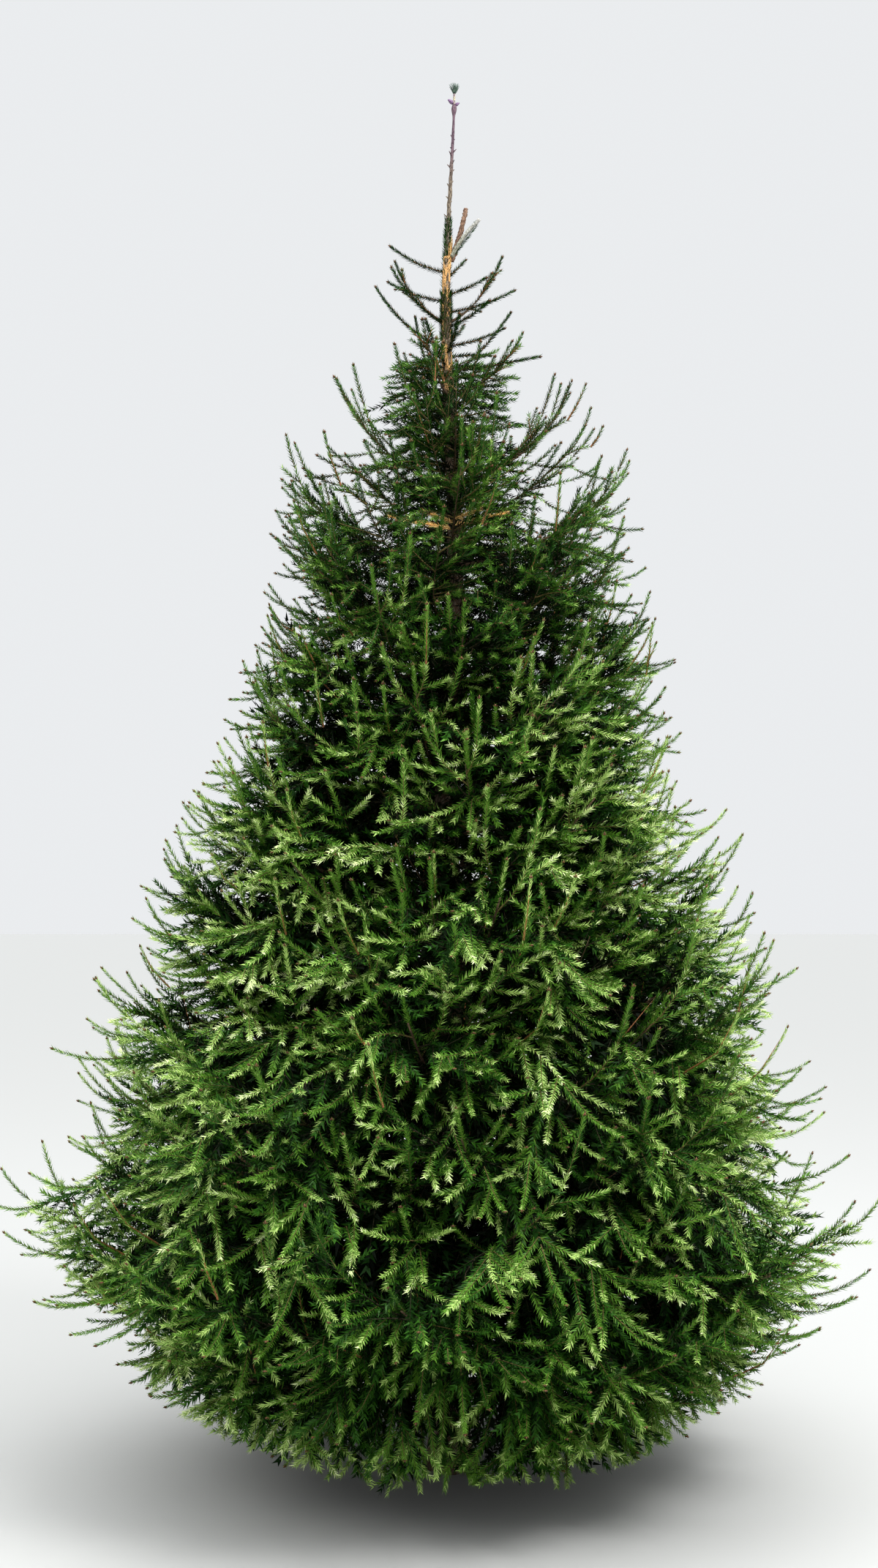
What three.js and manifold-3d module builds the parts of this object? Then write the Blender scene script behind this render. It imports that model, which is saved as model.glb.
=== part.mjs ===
// A young Norway spruce as it stands in a field: one straight trunk with its leader, thirteen whorls of
// boughs, and round each bough a mass of foliage whose sprays stand for its needled side shoots.
// Millimetres, +Z up. The origin is the centre of the flat cut at ground level, and -Y is the side that
// faces the viewer. Azimuths are in degrees from +X.

import * as THREE from "three";
import { mergeVertices } from "three/addons/utils/BufferGeometryUtils.js";
import Module from "manifold-3d";

const wasm = await Module();
wasm.setup();

// Driving dimensions
const TREE_HEIGHT = 3660;
const LEADER_FOOT = 3175; // the torn top whorl, where last year's shoot took over as leader
const TRUNK_TOP = 3600; // the leader's cut end, under its bud
const BUTT_RADIUS = 47; // above the root flare
const TOP_RADIUS = 9; // just under the leader
const TAPER = 0.8;
const LEADER_RADII = [5.5, 3];
const FLARE = { depth: 22, height: 70, roots: 5, ridge: 0.3 };
const SWAY = { x: -12, xPitch: 1350, y: 8, yPitch: 1900 };
const CLEAR = 0.3; // between a limb and what it grows from
const LEAN_OUT = 0.07; // the crown's foot is this much deeper on its -X side, and shallower on its +X side
const LEAN_TURN = 1750; // the height above which it leans the other way
const LIFT_POWER = 2.6; // how late along a bough its tip turns up
const SPACE_ABOVE = 0.2; // share of the gap to the next whorl that a mass fills above its stem
const SPACE_GAP = 14; // between the spaces of two masses
const REACH_MOST = 1.08; // the longest bough of a whorl as a share of its reach
const OUTSIDE_FALL = 0.8;
const UNDERSIDE = { gap: 20, from: 400, rise: 0.6 }; // of the crown: level to a distance, then rising

// One entry for each whorl, from the ground up. foot: height on the trunk. reach: level distance to its
// furthest tips. leave and lift: slope at the trunk, and what the upturned tip adds to it. hang: how far
// side sprays droop. sprays: how many side sprays each mass has. stem: radius of a bough at the trunk.
const WHORLS = [
  { foot: 200, reach: 910, boughs: 5, turn: 8, leave: 0.08, lift: 0.2, hang: 0.6, sprays: 7, stem: 14 },
  { foot: 430, reach: 1050, boughs: 5, turn: 44, leave: 0.0, lift: 0.2, hang: 0.85, sprays: 8, stem: 14 },
  { foot: 680, reach: 1000, boughs: 5, turn: 20, leave: 0.02, lift: 0.26, hang: 0.85, sprays: 8, stem: 13 },
  { foot: 930, reach: 880, boughs: 5, turn: 46, leave: 0.04, lift: 0.32, hang: 0.8, sprays: 7, stem: 12 },
  { foot: 1180, reach: 780, boughs: 4, turn: 8, leave: 0.08, lift: 0.38, hang: 0.75, sprays: 8, stem: 11 },
  { foot: 1430, reach: 680, boughs: 4, turn: 38, leave: 0.12, lift: 0.38, hang: 0.7, sprays: 8, stem: 10 },
  { foot: 1670, reach: 610, boughs: 4, turn: 28, leave: 0.14, lift: 0.4, hang: 0.6, sprays: 8, stem: 9 },
  { foot: 1900, reach: 530, boughs: 4, turn: 5, leave: 0.14, lift: 0.38, hang: 0.5, sprays: 7, stem: 8 },
  { foot: 2120, reach: 520, boughs: 4, turn: 46, leave: 0.18, lift: 0.38, hang: 0.45, sprays: 6, stem: 7 },
  { foot: 2330, reach: 460, boughs: 4, turn: 3, leave: 0.2, lift: 0.32, hang: 0.35, sprays: 6, stem: 6 },
  { foot: 2550, reach: 320, boughs: 4, turn: 5, leave: 0.3, lift: 0.5, hang: 0.2, sprays: 5, stem: 5 },
  { foot: 2790, reach: 200, boughs: 3, turn: 12, leave: 0.35, lift: 0.55, hang: 0.1, sprays: 4, stem: 4 },
  { foot: 2990, reach: 150, boughs: 2, turn: 0, leave: 0.55, lift: 0.65, hang: 0.05, sprays: 2, stem: 3.5 },
];
const BARE_BOUGH = 0.27; // share of the lowest whorl's boughs that is bare and a part of its own
const WANDER = 7; // degrees that a bough strays from the middle of its space

// Sprays along a stem: first and last place, the longest spray as a share of the bough, angles to the stem,
// and how much the droop of one differs from that of the next.
const SPRAYS = { first: 0.24, last: 0.85, share: 0.46, inner: 70, outer: 34, sweep: 24, scatter: 0.7 };
const SHRINK = 0.86; // a spray that leaves its space is cut back and lifted by steps of this share
const SHRINK_LEAST = 0.25; // and is skipped below this one
const BLADE = { toothPitch: 130, toothShare: 0.46, toothMin: 45, toothMax: 170, toothAngle: 52 };
const SPINE = { least: 6, share: 0.009, tip: 0.5, bare: 0.12 };
const TOOTH_HANG = [0.6, 1]; // radians that teeth hang below level, for a whorl's hang of 0 and of 1
const NEEDLED = { share: 0.6, from: 0.4 }; // needles thicken the stem to this share of its sprays' spines
const COMB = { from: 0.06, to: 0.86, depth: 160, between: 0.45 };
const STEM_LENGTH = 150; // about the length of one straight length of a stem
const TIP_SPRAY = 0.8; // share of the bough where the spray at its tip begins
const TIP_TEETH = 0.62;
const TUFT = { needles: 3 };
const SEED = 3;

const BARK = new THREE.MeshStandardMaterial({ color: 0x5b4a3a, roughness: 0.92, metalness: 0 });
const NEEDLES = new THREE.MeshStandardMaterial({ color: 0x2f5a26, roughness: 0.7, metalness: 0 });

const UP = new THREE.Vector3(0, 0, 1);
const NORTH = new THREE.Vector3(0, 1, 0);
const degrees = THREE.MathUtils.degToRad;
const mix = THREE.MathUtils.lerp;

// The same number from 0 to 1 every time for the same whole numbers.
function dice(...keys) {
  let h = (2166136261 ^ SEED) | 0;
  for (const key of keys) {
    h = Math.imul(h ^ (key + 1), 16777619);
    h ^= h >>> 13;
  }
  h = Math.imul(h ^ (h >>> 16), 0x85ebca6b);
  h = Math.imul(h ^ (h >>> 13), 0xc2b2ae35);
  h ^= h >>> 16;
  return (h >>> 0) / 4294967296;
}

// Trunk

function trunkAxis(z) {
  return new THREE.Vector3(
    SWAY.x * Math.sin((2 * Math.PI * z) / SWAY.xPitch),
    SWAY.y * Math.sin((2 * Math.PI * z) / SWAY.yPitch),
    z,
  );
}

function trunkRadius(z) {
  if (z > LEADER_FOOT) return mix(...LEADER_RADII, (z - LEADER_FOOT) / (TRUNK_TOP - LEADER_FOOT));
  return TOP_RADIUS + (BUTT_RADIUS - TOP_RADIUS) * (1 - z / LEADER_FOOT) ** TAPER;
}

// Bends a straight cylinder along pointAt(t), with radiusAt(t, angle) round it, and returns it as a solid.
// Its rings stand square to the line, or lie level where the limb is upright.
function limb(pointAt, radiusAt, sides, segments, upright = false) {
  const geometry = new THREE.CylinderGeometry(1, 1, 1, sides, segments).rotateY(Math.PI);
  const place = geometry.getAttribute("position");
  const ahead = 0.004;
  for (let i = 0; i < place.count; i++) {
    const t = place.getY(i) + 0.5;
    const along = upright ? UP : pointAt(t + ahead).sub(pointAt(t - ahead)).normalize();
    const side = new THREE.Vector3().crossVectors(along, upright ? NORTH : UP).normalize();
    const over = new THREE.Vector3().crossVectors(side, along);
    const [x, z] = [place.getX(i), place.getZ(i)];
    const radius = radiusAt(t, Math.atan2(z, x));
    const at = pointAt(t).addScaledVector(side, x * radius).addScaledVector(over, z * radius);
    place.setXYZ(i, at.x, at.y, at.z);
  }
  return solid(geometry);
}

function solid(geometry) {
  for (const name of ["normal", "uv"]) geometry.deleteAttribute(name);
  const merged = mergeVertices(geometry, 1e-3);
  return new wasm.Manifold(
    new wasm.Mesh({
      numProp: 3,
      vertProperties: merged.getAttribute("position").array,
      triVerts: new Uint32Array(merged.index.array),
    }),
  );
}

// The trunk grown by more all round: 0 for the trunk itself, CLEAR for what cuts the limbs clear of it.
function trunkSolid(more) {
  const sides = 9;
  const stemRings = 11;
  const leaderRings = 3;
  const levels = [0, 30, 110];
  for (let i = 1; i <= stemRings; i++) levels.push(mix(110, LEADER_FOOT, i / stemRings));
  for (let i = 0; i <= leaderRings; i++) levels.push(mix(LEADER_FOOT + 28, TRUNK_TOP, i / leaderRings));
  const last = levels.length - 1;
  const levelAt = (t) => {
    const i = Math.min(Math.max(Math.floor(t * last), 0), last - 1);
    return mix(levels[i], levels[i + 1], t * last - i);
  };
  const radiusAt = (t, angle) => {
    const z = levelAt(t);
    const ridges = 1 + FLARE.ridge * Math.cos(FLARE.roots * angle);
    return trunkRadius(z) + FLARE.depth * Math.exp(-z / FLARE.height) * ridges + more;
  };
  return limb((t) => trunkAxis(levelAt(t)), radiusAt, sides, last, true);
}

// Boughs: the line that each one follows, from the trunk's axis to its furthest tip

function stemRise(whorl, share) {
  return whorl.reach * (whorl.leave * share + whorl.lift * share ** LIFT_POWER);
}

// Height of a whorl's line at a level distance from the trunk. Past its furthest tips it falls away, so
// that the whorl above may hang down outside it.
function whorlHeight(whorl, distance) {
  const share = Math.min(distance / whorl.reach, REACH_MOST);
  const past = Math.max(distance - whorl.reach * REACH_MOST, 0);
  return whorl.foot + stemRise(whorl, share) - OUTSIDE_FALL * past;
}

function boughLine(level, number) {
  const whorl = WHORLS[level];
  const middle = degrees(whorl.turn + (360 * number) / whorl.boughs);
  const azimuth = middle + degrees(WANDER) * (2 * dice(level, number, 1) - 1);
  const lean = LEAN_OUT * (1 - whorl.foot / LEAN_TURN);
  const reach = whorl.reach * (0.9 + 0.12 * dice(level, number, 2)) * (1 - lean * Math.cos(azimuth));
  const bend = (dice(level, number, 3) - 0.5) * 0.12;
  const out = new THREE.Vector3(Math.cos(azimuth), Math.sin(azimuth), 0);
  const across = new THREE.Vector3(-Math.sin(azimuth), Math.cos(azimuth), 0);
  const foot = trunkAxis(whorl.foot);
  const pointAt = (t) =>
    foot
      .clone()
      .addScaledVector(out, reach * t)
      .addScaledVector(across, reach * bend * Math.sin(Math.PI * t))
      .addScaledVector(UP, stemRise(whorl, Math.abs(t)) * (reach / whorl.reach));
  const radiusAt = (t) => whorl.stem * (1 - 0.8 * t);
  return { level, number, whorl, middle, reach, pointAt, radiusAt };
}

// True where a point lies in the mass's own space: a wedge about its middle, between two sloping levels.
function inSpace(line, point) {
  const { level, whorl, middle } = line;
  const ahead = Math.cos(middle) * point.x + Math.sin(middle) * point.y;
  const aside = Math.abs(Math.cos(middle) * point.y - Math.sin(middle) * point.x);
  const half = Math.PI / Math.max(whorl.boughs, 3);
  if (ahead * Math.sin(half) - aside * Math.cos(half) < SPACE_GAP / 2) return false;
  const distance = Math.hypot(point.x, point.y);
  const ceiling = (i) =>
    i + 1 < WHORLS.length
      ? mix(whorlHeight(WHORLS[i], distance), whorlHeight(WHORLS[i + 1], distance), SPACE_ABOVE)
      : TREE_HEIGHT;
  const underside = UNDERSIDE.gap + UNDERSIDE.rise * Math.max(distance - UNDERSIDE.from, 0);
  const floor = level ? Math.max(ceiling(level - 1) + SPACE_GAP / 2, underside) : underside;
  return point.z > floor && point.z < ceiling(level) - SPACE_GAP / 2;
}

// Foliage: where each side spray starts on its stem, and the line that it follows

function sprayLines(line) {
  const { level, number, whorl, reach } = line;
  const first = level ? SPRAYS.first : BARE_BOUGH + SPRAYS.first / 4;
  const span = SPRAYS.last - first;
  const places = stemPlaces(line);
  const total = whorl.sprays;
  const sprays = [];
  for (let i = 0; i < total; i++) {
    const t = first + (span * (i + 0.3 + 0.4 * dice(level, number, 10, i))) / total;
    const root = onStem(line, places, t);
    const along = line.pointAt(t + 0.02).sub(line.pointAt(t - 0.02)).normalize();
    const side = new THREE.Vector3().crossVectors(along, UP).normalize().multiplyScalar(i % 2 ? 1 : -1);
    const [turnRoll, hangRoll, lengthRoll] = [11, 12, 13].map((what) => dice(level, number, what, i));
    const angle = degrees(mix(SPRAYS.inner, SPRAYS.outer, t) + 12 * (turnRoll - 0.5));
    const later = angle - degrees(SPRAYS.sweep);
    const hang = whorl.hang * (1.05 - 1.3 * t * t) + SPRAYS.scatter * (hangRoll - 0.5);
    const swell = Math.sin(Math.PI * (0.18 + 0.72 * t));
    const full = reach * SPRAYS.share * swell * (0.85 + 0.3 * lengthRoll);
    const heading = (turn, fall) =>
      along
        .clone()
        .multiplyScalar(Math.cos(turn))
        .addScaledVector(side, Math.sin(turn))
        .addScaledVector(UP, -fall)
        .normalize();
    // The spray's line once it has been cut back and lifted by share.
    const lineOf = (share) => {
      const length = full * (0.35 + 0.65 * share);
      const start = heading(angle, 0.3 * hang * share);
      const end = heading(later, 2 * hang * share);
      const pointAt = (u) =>
        root
          .clone()
          .addScaledVector(start, length * (u - (u * u) / 2))
          .addScaledVector(end, (length * u * u) / 2);
      return { length, pointAt };
    };
    sprays.push(lineOf);
  }
  return sprays;
}

// A toothed blade along pointAt(u): a twig that thickens into a three-edged spine, with a pair of swept,
// hanging teeth for each pitch, and a pointed tip. Returns its points too, to be tested against the space.
function blade(pointAt, length, hang, thickness, toothScale = 1) {
  const pairs = Math.min(Math.max(Math.round(length / BLADE.toothPitch), 1), 3);
  const angle = degrees(BLADE.toothAngle);
  const points = [pointAt(0)];
  const faces = [];
  const station = (u) => {
    const along = pointAt(u + 0.01).sub(pointAt(u - 0.01)).normalize();
    const side = new THREE.Vector3().crossVectors(along, UP).normalize();
    return { at: pointAt(u), along, side, over: new THREE.Vector3().crossVectors(side, along) };
  };
  const ring = (u) => {
    const { at, side, over } = station(u);
    const half = thickness * mix(1, SPINE.tip, u);
    for (const [a, b] of [[0, 1.2], [-0.85, -0.5], [0.85, -0.5]]) {
      points.push(at.clone().addScaledVector(side, a * half).addScaledVector(over, b * half));
    }
    return points.length - 3;
  };
  const places = [];
  for (let i = 0; i <= pairs; i++) places.push(mix(SPINE.bare, 0.9, i / pairs));
  const rings = places.map(ring);
  for (let i = 0; i < 3; i++) faces.push(0, rings[0] + i, rings[0] + ((i + 1) % 3));
  for (let i = 0; i < pairs; i++) {
    const [a, b] = [rings[i], rings[i + 1]];
    faces.push(a + 2, a + 1, b + 1, a + 2, b + 1, b + 2);
    const u = mix(places[i], places[i + 1], 0.75);
    const { at, along, side, over } = station(u);
    const wanted = length * BLADE.toothShare * Math.sin(Math.PI * (0.3 + 0.5 * u));
    const tooth = toothScale * Math.min(Math.max(wanted, BLADE.toothMin), BLADE.toothMax);
    for (const hand of [-1, 1]) {
      const tip = at
        .clone()
        .addScaledVector(along, tooth * Math.cos(angle))
        .addScaledVector(side, hand * tooth * Math.sin(angle) * Math.cos(hang))
        .addScaledVector(over, -tooth * Math.sin(angle) * Math.sin(hang));
      const k = points.push(tip) - 1;
      const [p, q, r, s] = hand > 0 ? [a, a + 2, b + 2, b] : [a + 1, a, b, b + 1];
      faces.push(p, q, k, q, r, k, r, s, k, s, p, k);
    }
  }
  const end = rings[pairs];
  const tip = points.push(pointAt(1)) - 1;
  for (let i = 0; i < 3; i++) faces.push(end + i, tip, end + ((i + 1) % 3));
  const geometry = new THREE.BufferGeometry();
  const corners = points.flatMap((p) => p.toArray());
  geometry.setAttribute("position", new THREE.Float32BufferAttribute(corners, 3));
  geometry.setIndex(faces);
  return { geometry, points };
}

// The straight lengths of a mass's own stem, from its bough's end or the trunk's axis: shares of the bough.
function stemPlaces({ level, reach }) {
  const start = level ? 0 : BARE_BOUGH + CLEAR / reach;
  const lengths = Math.max(3, Math.round(reach / STEM_LENGTH));
  return Array.from({ length: lengths + 1 }, (_, i) => mix(start, TIP_SPRAY + 0.03, i / lengths));
}

function onStem(line, places, t) {
  const i = Math.min(Math.max(places.findIndex((place) => place >= t), 1), places.length - 1);
  const share = (t - places[i - 1]) / (places[i] - places[i - 1]);
  return line.pointAt(places[i - 1]).lerp(line.pointAt(places[i]), share);
}

function foliage(line, trunkCut) {
  const { level, whorl, reach } = line;
  const toothHang = mix(...TOOTH_HANG, whorl.hang);
  const thickness = SPINE.least + SPINE.share * reach;
  const places = stemPlaces(line);
  const shareAt = (t) => mix(places[0], places[places.length - 1], t);
  const stemAt = (t) => line.pointAt(shareAt(t));
  // Round the stem stand needles, and under it a comb of hanging shoots.
  const needled = (t, angle) => {
    const share = shareAt(t);
    const round = line.radiusAt(share) + NEEDLED.share * thickness * Math.min(share / NEEDLED.from, 1);
    const within = Math.max(Math.sin((Math.PI * (share - COMB.from)) / (COMB.to - COMB.from)), 0);
    const tooth = Math.round(t * (places.length - 1)) % 2 ? 1 : COMB.between;
    return round + (Math.sin(angle) < -0.9 ? COMB.depth * whorl.hang * Math.sqrt(within) * tooth : 0);
  };
  let mass = limb(stemAt, needled, 3, places.length - 1);
  for (const lineOf of sprayLines(line)) {
    for (let share = 1; share > SHRINK_LEAST; share *= SHRINK) {
      const { length, pointAt } = lineOf(share);
      const { geometry, points } = blade(pointAt, length, toothHang * share, thickness);
      if (!points.every((p) => inSpace(line, p))) continue;
      mass = mass.add(solid(geometry));
      break;
    }
  }
  const tipLength = reach * (1 - TIP_SPRAY);
  const tipAt = (u) => onStem(line, [...places.slice(0, -1), 1], mix(TIP_SPRAY, 1, u));
  mass = mass.add(solid(blade(tipAt, tipLength, toothHang / 3, thickness, TIP_TEETH).geometry));
  return largest(level ? mass.subtract(trunkCut) : mass);
}

function bough(line, trunkCut) {
  const pointAt = (t) => line.pointAt(BARE_BOUGH * t);
  const made = limb(pointAt, (t) => line.radiusAt(BARE_BOUGH * t), 6, 3);
  return largest(made.subtract(trunkCut));
}

// The bud and young needles at the very top, on the leader's cut end.
function leaderTuft() {
  const foot = trunkAxis(TRUNK_TOP);
  const height = TREE_HEIGHT - TRUNK_TOP - CLEAR;
  const straight = (from, lean, length) => (t) =>
    new THREE.Vector3(0, 0, CLEAR + from).addScaledVector(lean, length * t).add(foot);
  const swell = [2.8, 4.4, 5];
  const neck = (t) => swell[Math.round(t * (swell.length - 1))];
  let tuft = limb(straight(0, UP, height * 0.75), neck, 5, swell.length - 1, true);
  for (let i = 0; i < TUFT.needles; i++) {
    const angle = (2 * Math.PI * i) / TUFT.needles;
    const lean = new THREE.Vector3(0.34 * Math.cos(angle), 0.34 * Math.sin(angle), 1);
    const needle = straight(height * 0.68, lean, height * 0.32);
    tuft = tuft.add(limb(needle, (t) => mix(3.4, 0.6, t), 3, 1, true));
  }
  for (const hand of [-1, 1]) {
    const bud = straight(height * 0.24, new THREE.Vector3(hand * 0.9, 0, 0.6), 17);
    tuft = tuft.add(limb(bud, (t) => mix(4.2, 1.6, t), 4, 1, true));
  }
  return largest(tuft);
}

// Fusing can seal a hollow or leave a scrap: only the largest outer body is kept.
function largest(made) {
  return made.decompose().sort((a, b) => b.volume() - a.volume())[0];
}

function meshOf(name, made, material) {
  const { numProp, vertProperties, triVerts } = made.getMesh();
  const geometry = new THREE.BufferGeometry();
  const interleaved = new THREE.InterleavedBuffer(new Float32Array(vertProperties), numProp);
  geometry.setAttribute("position", new THREE.InterleavedBufferAttribute(interleaved, 3, 0));
  geometry.setIndex(new THREE.BufferAttribute(new Uint32Array(triVerts), 1));
  const mesh = new THREE.Mesh(geometry, material);
  mesh.name = name;
  return mesh;
}

const spruce = new THREE.Group();
const trunkCut = trunkSolid(CLEAR);
spruce.add(meshOf("trunk", trunkSolid(0), BARK));
WHORLS.forEach((whorl, level) => {
  const whorlName = "whorl" + String(level + 1).padStart(2, "0");
  for (let number = 0; number < whorl.boughs; number++) {
    const line = boughLine(level, number);
    if (level === 0) spruce.add(meshOf(`${whorlName}_bough${number + 1}`, bough(line, trunkCut), BARK));
    spruce.add(meshOf(`${whorlName}_foliage${number + 1}`, foliage(line, trunkCut), NEEDLES));
  }
});
spruce.add(meshOf("leader_tuft", leaderTuft(), NEEDLES));

export default spruce;
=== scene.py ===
import math
from collections import namedtuple

import bmesh
import bpy
import numpy as np
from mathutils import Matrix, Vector, noise


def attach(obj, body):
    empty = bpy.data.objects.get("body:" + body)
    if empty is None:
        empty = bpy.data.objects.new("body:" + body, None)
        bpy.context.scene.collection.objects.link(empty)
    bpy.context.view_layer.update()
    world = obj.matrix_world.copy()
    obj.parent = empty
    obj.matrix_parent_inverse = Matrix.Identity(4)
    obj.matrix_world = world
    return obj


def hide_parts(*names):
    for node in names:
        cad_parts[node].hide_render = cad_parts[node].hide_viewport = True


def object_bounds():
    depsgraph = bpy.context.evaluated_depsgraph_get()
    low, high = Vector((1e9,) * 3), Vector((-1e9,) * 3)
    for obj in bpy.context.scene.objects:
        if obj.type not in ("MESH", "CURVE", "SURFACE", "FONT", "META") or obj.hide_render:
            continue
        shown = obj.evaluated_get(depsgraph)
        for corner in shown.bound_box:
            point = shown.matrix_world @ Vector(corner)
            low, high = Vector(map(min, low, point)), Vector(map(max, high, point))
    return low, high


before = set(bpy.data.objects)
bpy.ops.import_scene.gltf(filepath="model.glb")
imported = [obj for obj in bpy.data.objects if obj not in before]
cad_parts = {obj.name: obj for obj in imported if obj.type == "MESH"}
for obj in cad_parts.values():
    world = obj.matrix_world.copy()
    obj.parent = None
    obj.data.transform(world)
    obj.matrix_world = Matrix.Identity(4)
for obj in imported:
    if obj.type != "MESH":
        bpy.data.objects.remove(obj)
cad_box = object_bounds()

# A young Norway spruce standing in the open: one straight trunk, thirteen whorls of boughs, and on each
# bough the side branches, shoots, needles and buds that grow from it. Metres, +Z up, origin at the foot.

# Trunk
# A stem of green softwood, butt 94 mm across over a low root flare, cut flat at ground level. Thin
# grey-brown bark lies on it in small scales, swollen round each whorl and partly torn off near the top.

LEADER_FOOT = 3.175  # the torn top whorl, where last year's shoot took over as leader
TRUNK_TOP = 3.6
BUTT_RADIUS = 0.047
TOP_RADIUS = 0.009
TAPER = 0.8
LEADER_RADIUS = 0.0055
LEADER_THINS = 0.0025
FLARE_DEPTH = 0.022
FLARE_HEIGHT = 0.07
FLARE_ROOTS = 5
FLARE_RIDGE = 0.3
SWAY_X = -0.012
SWAY_X_PITCH = 1.35
SWAY_Y = 0.008
SWAY_Y_PITCH = 1.9
BARK_RING = 0.007  # height of one ring of the trunk's mesh
BARK_SIDES = 40
SCALE_SIZE = 0.011
SCALE_RELIEF = 0.0011
SCALED_RADIUS = 0.03  # a stem as thick as this has scales in full relief
SCALE_STRETCH = 0.7
SCALE_STEEPNESS = 1.6
LUMP_RELIEF = 0.0012
LUMP_FINENESS = 38
COLLAR_SWELL = 0.2
COLLAR_HEIGHT = 0.02
TORN_FROM = 2.74
TORN_WOOD = (188, 144, 92)

# Each whorl, from the ground up: foot, reach, number of boughs, turn in degrees, slope at the trunk, what
# the upturned tip adds to it, how far side branches hang, their number, and the bough's radius.
Whorl = namedtuple("Whorl", "foot reach boughs turn slope lift hang sprays radius")
WHORLS = [
    Whorl(0.200, 0.910, 5, 8, 0.08, 0.20, 0.60, 7, 0.0140),
    Whorl(0.430, 1.050, 5, 44, 0.00, 0.20, 0.85, 8, 0.0140),
    Whorl(0.680, 1.000, 5, 20, 0.02, 0.26, 0.85, 8, 0.0130),
    Whorl(0.930, 0.880, 5, 46, 0.04, 0.32, 0.80, 7, 0.0120),
    Whorl(1.180, 0.780, 4, 8, 0.08, 0.38, 0.75, 8, 0.0110),
    Whorl(1.430, 0.680, 4, 38, 0.12, 0.38, 0.70, 8, 0.0100),
    Whorl(1.670, 0.610, 4, 28, 0.14, 0.40, 0.60, 8, 0.0090),
    Whorl(1.900, 0.530, 4, 5, 0.14, 0.38, 0.50, 7, 0.0080),
    Whorl(2.120, 0.520, 4, 46, 0.18, 0.38, 0.45, 6, 0.0070),
    Whorl(2.330, 0.460, 4, 3, 0.20, 0.32, 0.35, 6, 0.0060),
    Whorl(2.550, 0.320, 4, 5, 0.30, 0.50, 0.20, 5, 0.0050),
    Whorl(2.790, 0.200, 3, 12, 0.35, 0.55, 0.10, 4, 0.0040),
    Whorl(2.990, 0.150, 2, 0, 0.55, 0.65, 0.05, 2, 0.0035),
]


def trunk_axis(z):
    """The middle of the trunk at a height."""
    x = SWAY_X * np.sin(2 * np.pi * z / SWAY_X_PITCH)
    y = SWAY_Y * np.sin(2 * np.pi * z / SWAY_Y_PITCH)
    return np.stack([x, y, z], -1)


def trunk_radius(z):
    stem = TOP_RADIUS + (BUTT_RADIUS - TOP_RADIUS) * np.clip(1 - z / LEADER_FOOT, 0, 1) ** TAPER
    leader = LEADER_RADIUS - LEADER_THINS * np.clip((z - LEADER_FOOT) / (TRUNK_TOP - LEADER_FOOT), 0, 1)
    return np.where(z > LEADER_FOOT, leader, stem)


def tube(bm, rings, sides, place):
    """A tube in bm: place(angle, share) gives the point of each corner, share running from 0 to 1."""
    made = bmesh.ops.create_grid(bm, x_segments=sides, y_segments=rings, size=0.5)
    for v in made["verts"]:
        v.co = Vector(place((v.co.x + 0.5) * math.tau, v.co.y + 0.5))
    bmesh.ops.remove_doubles(bm, verts=made["verts"], dist=1e-6)


def finished(name, bm, finish, nodes):
    """Closes any tubes' ends in bm and makes it a piece of the tree that stands for these CAD nodes."""
    ends = [e for e in bm.edges if e.is_boundary]
    if ends:
        bmesh.ops.holes_fill(bm, edges=ends, sides=0)
        bmesh.ops.recalc_face_normals(bm, faces=bm.faces)
    mesh = bpy.data.meshes.new(name)
    bm.to_mesh(mesh)
    bm.free()
    mesh.materials.append(finish)
    for face in mesh.polygons:
        face.use_smooth = True
    seat(name, mesh, nodes)


def seat(name, mesh, nodes):
    piece = bpy.data.objects.new(name, mesh)
    bpy.context.scene.collection.objects.link(piece)
    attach(piece, "root")
    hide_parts(*nodes)


class Shade:
    """A socket of a material's nodes, with the arithmetic that the finishes are written in."""

    def __init__(self, tree, socket):
        self.tree = tree
        self.socket = socket

    def math(self, operation, first, second):
        return node(self.tree, "ShaderNodeMath", {"operation": operation}, {0: first, 1: second})

    def __add__(self, other):
        return self.math("ADD", self, other)

    def __mul__(self, other):
        return self.math("MULTIPLY", self, other)

    def __rsub__(self, other):
        return self.math("SUBTRACT", other, self)

    __radd__ = __add__
    __rmul__ = __mul__

    def part(self, axis):
        """One part of a vector: 0, 1 or 2 for x, y or z."""
        return node(self.tree, "ShaderNodeSeparateXYZ", {}, {0: self}, axis)

    def ramp(self, low, high):
        """0 below low, 1 above high, and smooth between."""
        settings = {"interpolation_type": "SMOOTHSTEP"}
        return node(self.tree, "ShaderNodeMapRange", settings, {0: self, 1: low, 2: high})

    def tint(self, first, second):
        """first where this is 0 and second where it is 1, each of them a shade or a plain colour."""
        first, second = [tone if isinstance(tone, Shade) else colour(*tone) for tone in (first, second)]
        return node(self.tree, "ShaderNodeMix", {"data_type": "RGBA"}, {0: self, 6: first, 7: second}, 2)


def node(tree, kind, settings, inputs, output=0):
    made = tree.nodes.new(kind)
    for key, value in settings.items():
        setattr(made, key, value)
    for key, value in inputs.items():
        if isinstance(value, Shade):
            tree.links.new(value.socket, made.inputs[key])
        else:
            made.inputs[key].default_value = value
    return Shade(tree, made.outputs[output])


def colour(red, green, blue):
    """A colour given as it shows on a screen, 0 to 255, as the shader wants it."""
    parts = [v / 255 for v in (red, green, blue)]
    return (*[v / 12.92 if v <= 0.04045 else ((v + 0.055) / 1.055) ** 2.4 for v in parts], 1)


def material(name, roughness, gloss):
    """A new material, its node tree and its main shader."""
    made = bpy.data.materials.new(name)
    made.use_nodes = True
    shader = made.node_tree.nodes["Principled BSDF"]
    shader.inputs["Roughness"].default_value = roughness
    shader.inputs["Specular IOR Level"].default_value = gloss
    return made, made.node_tree, shader


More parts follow.
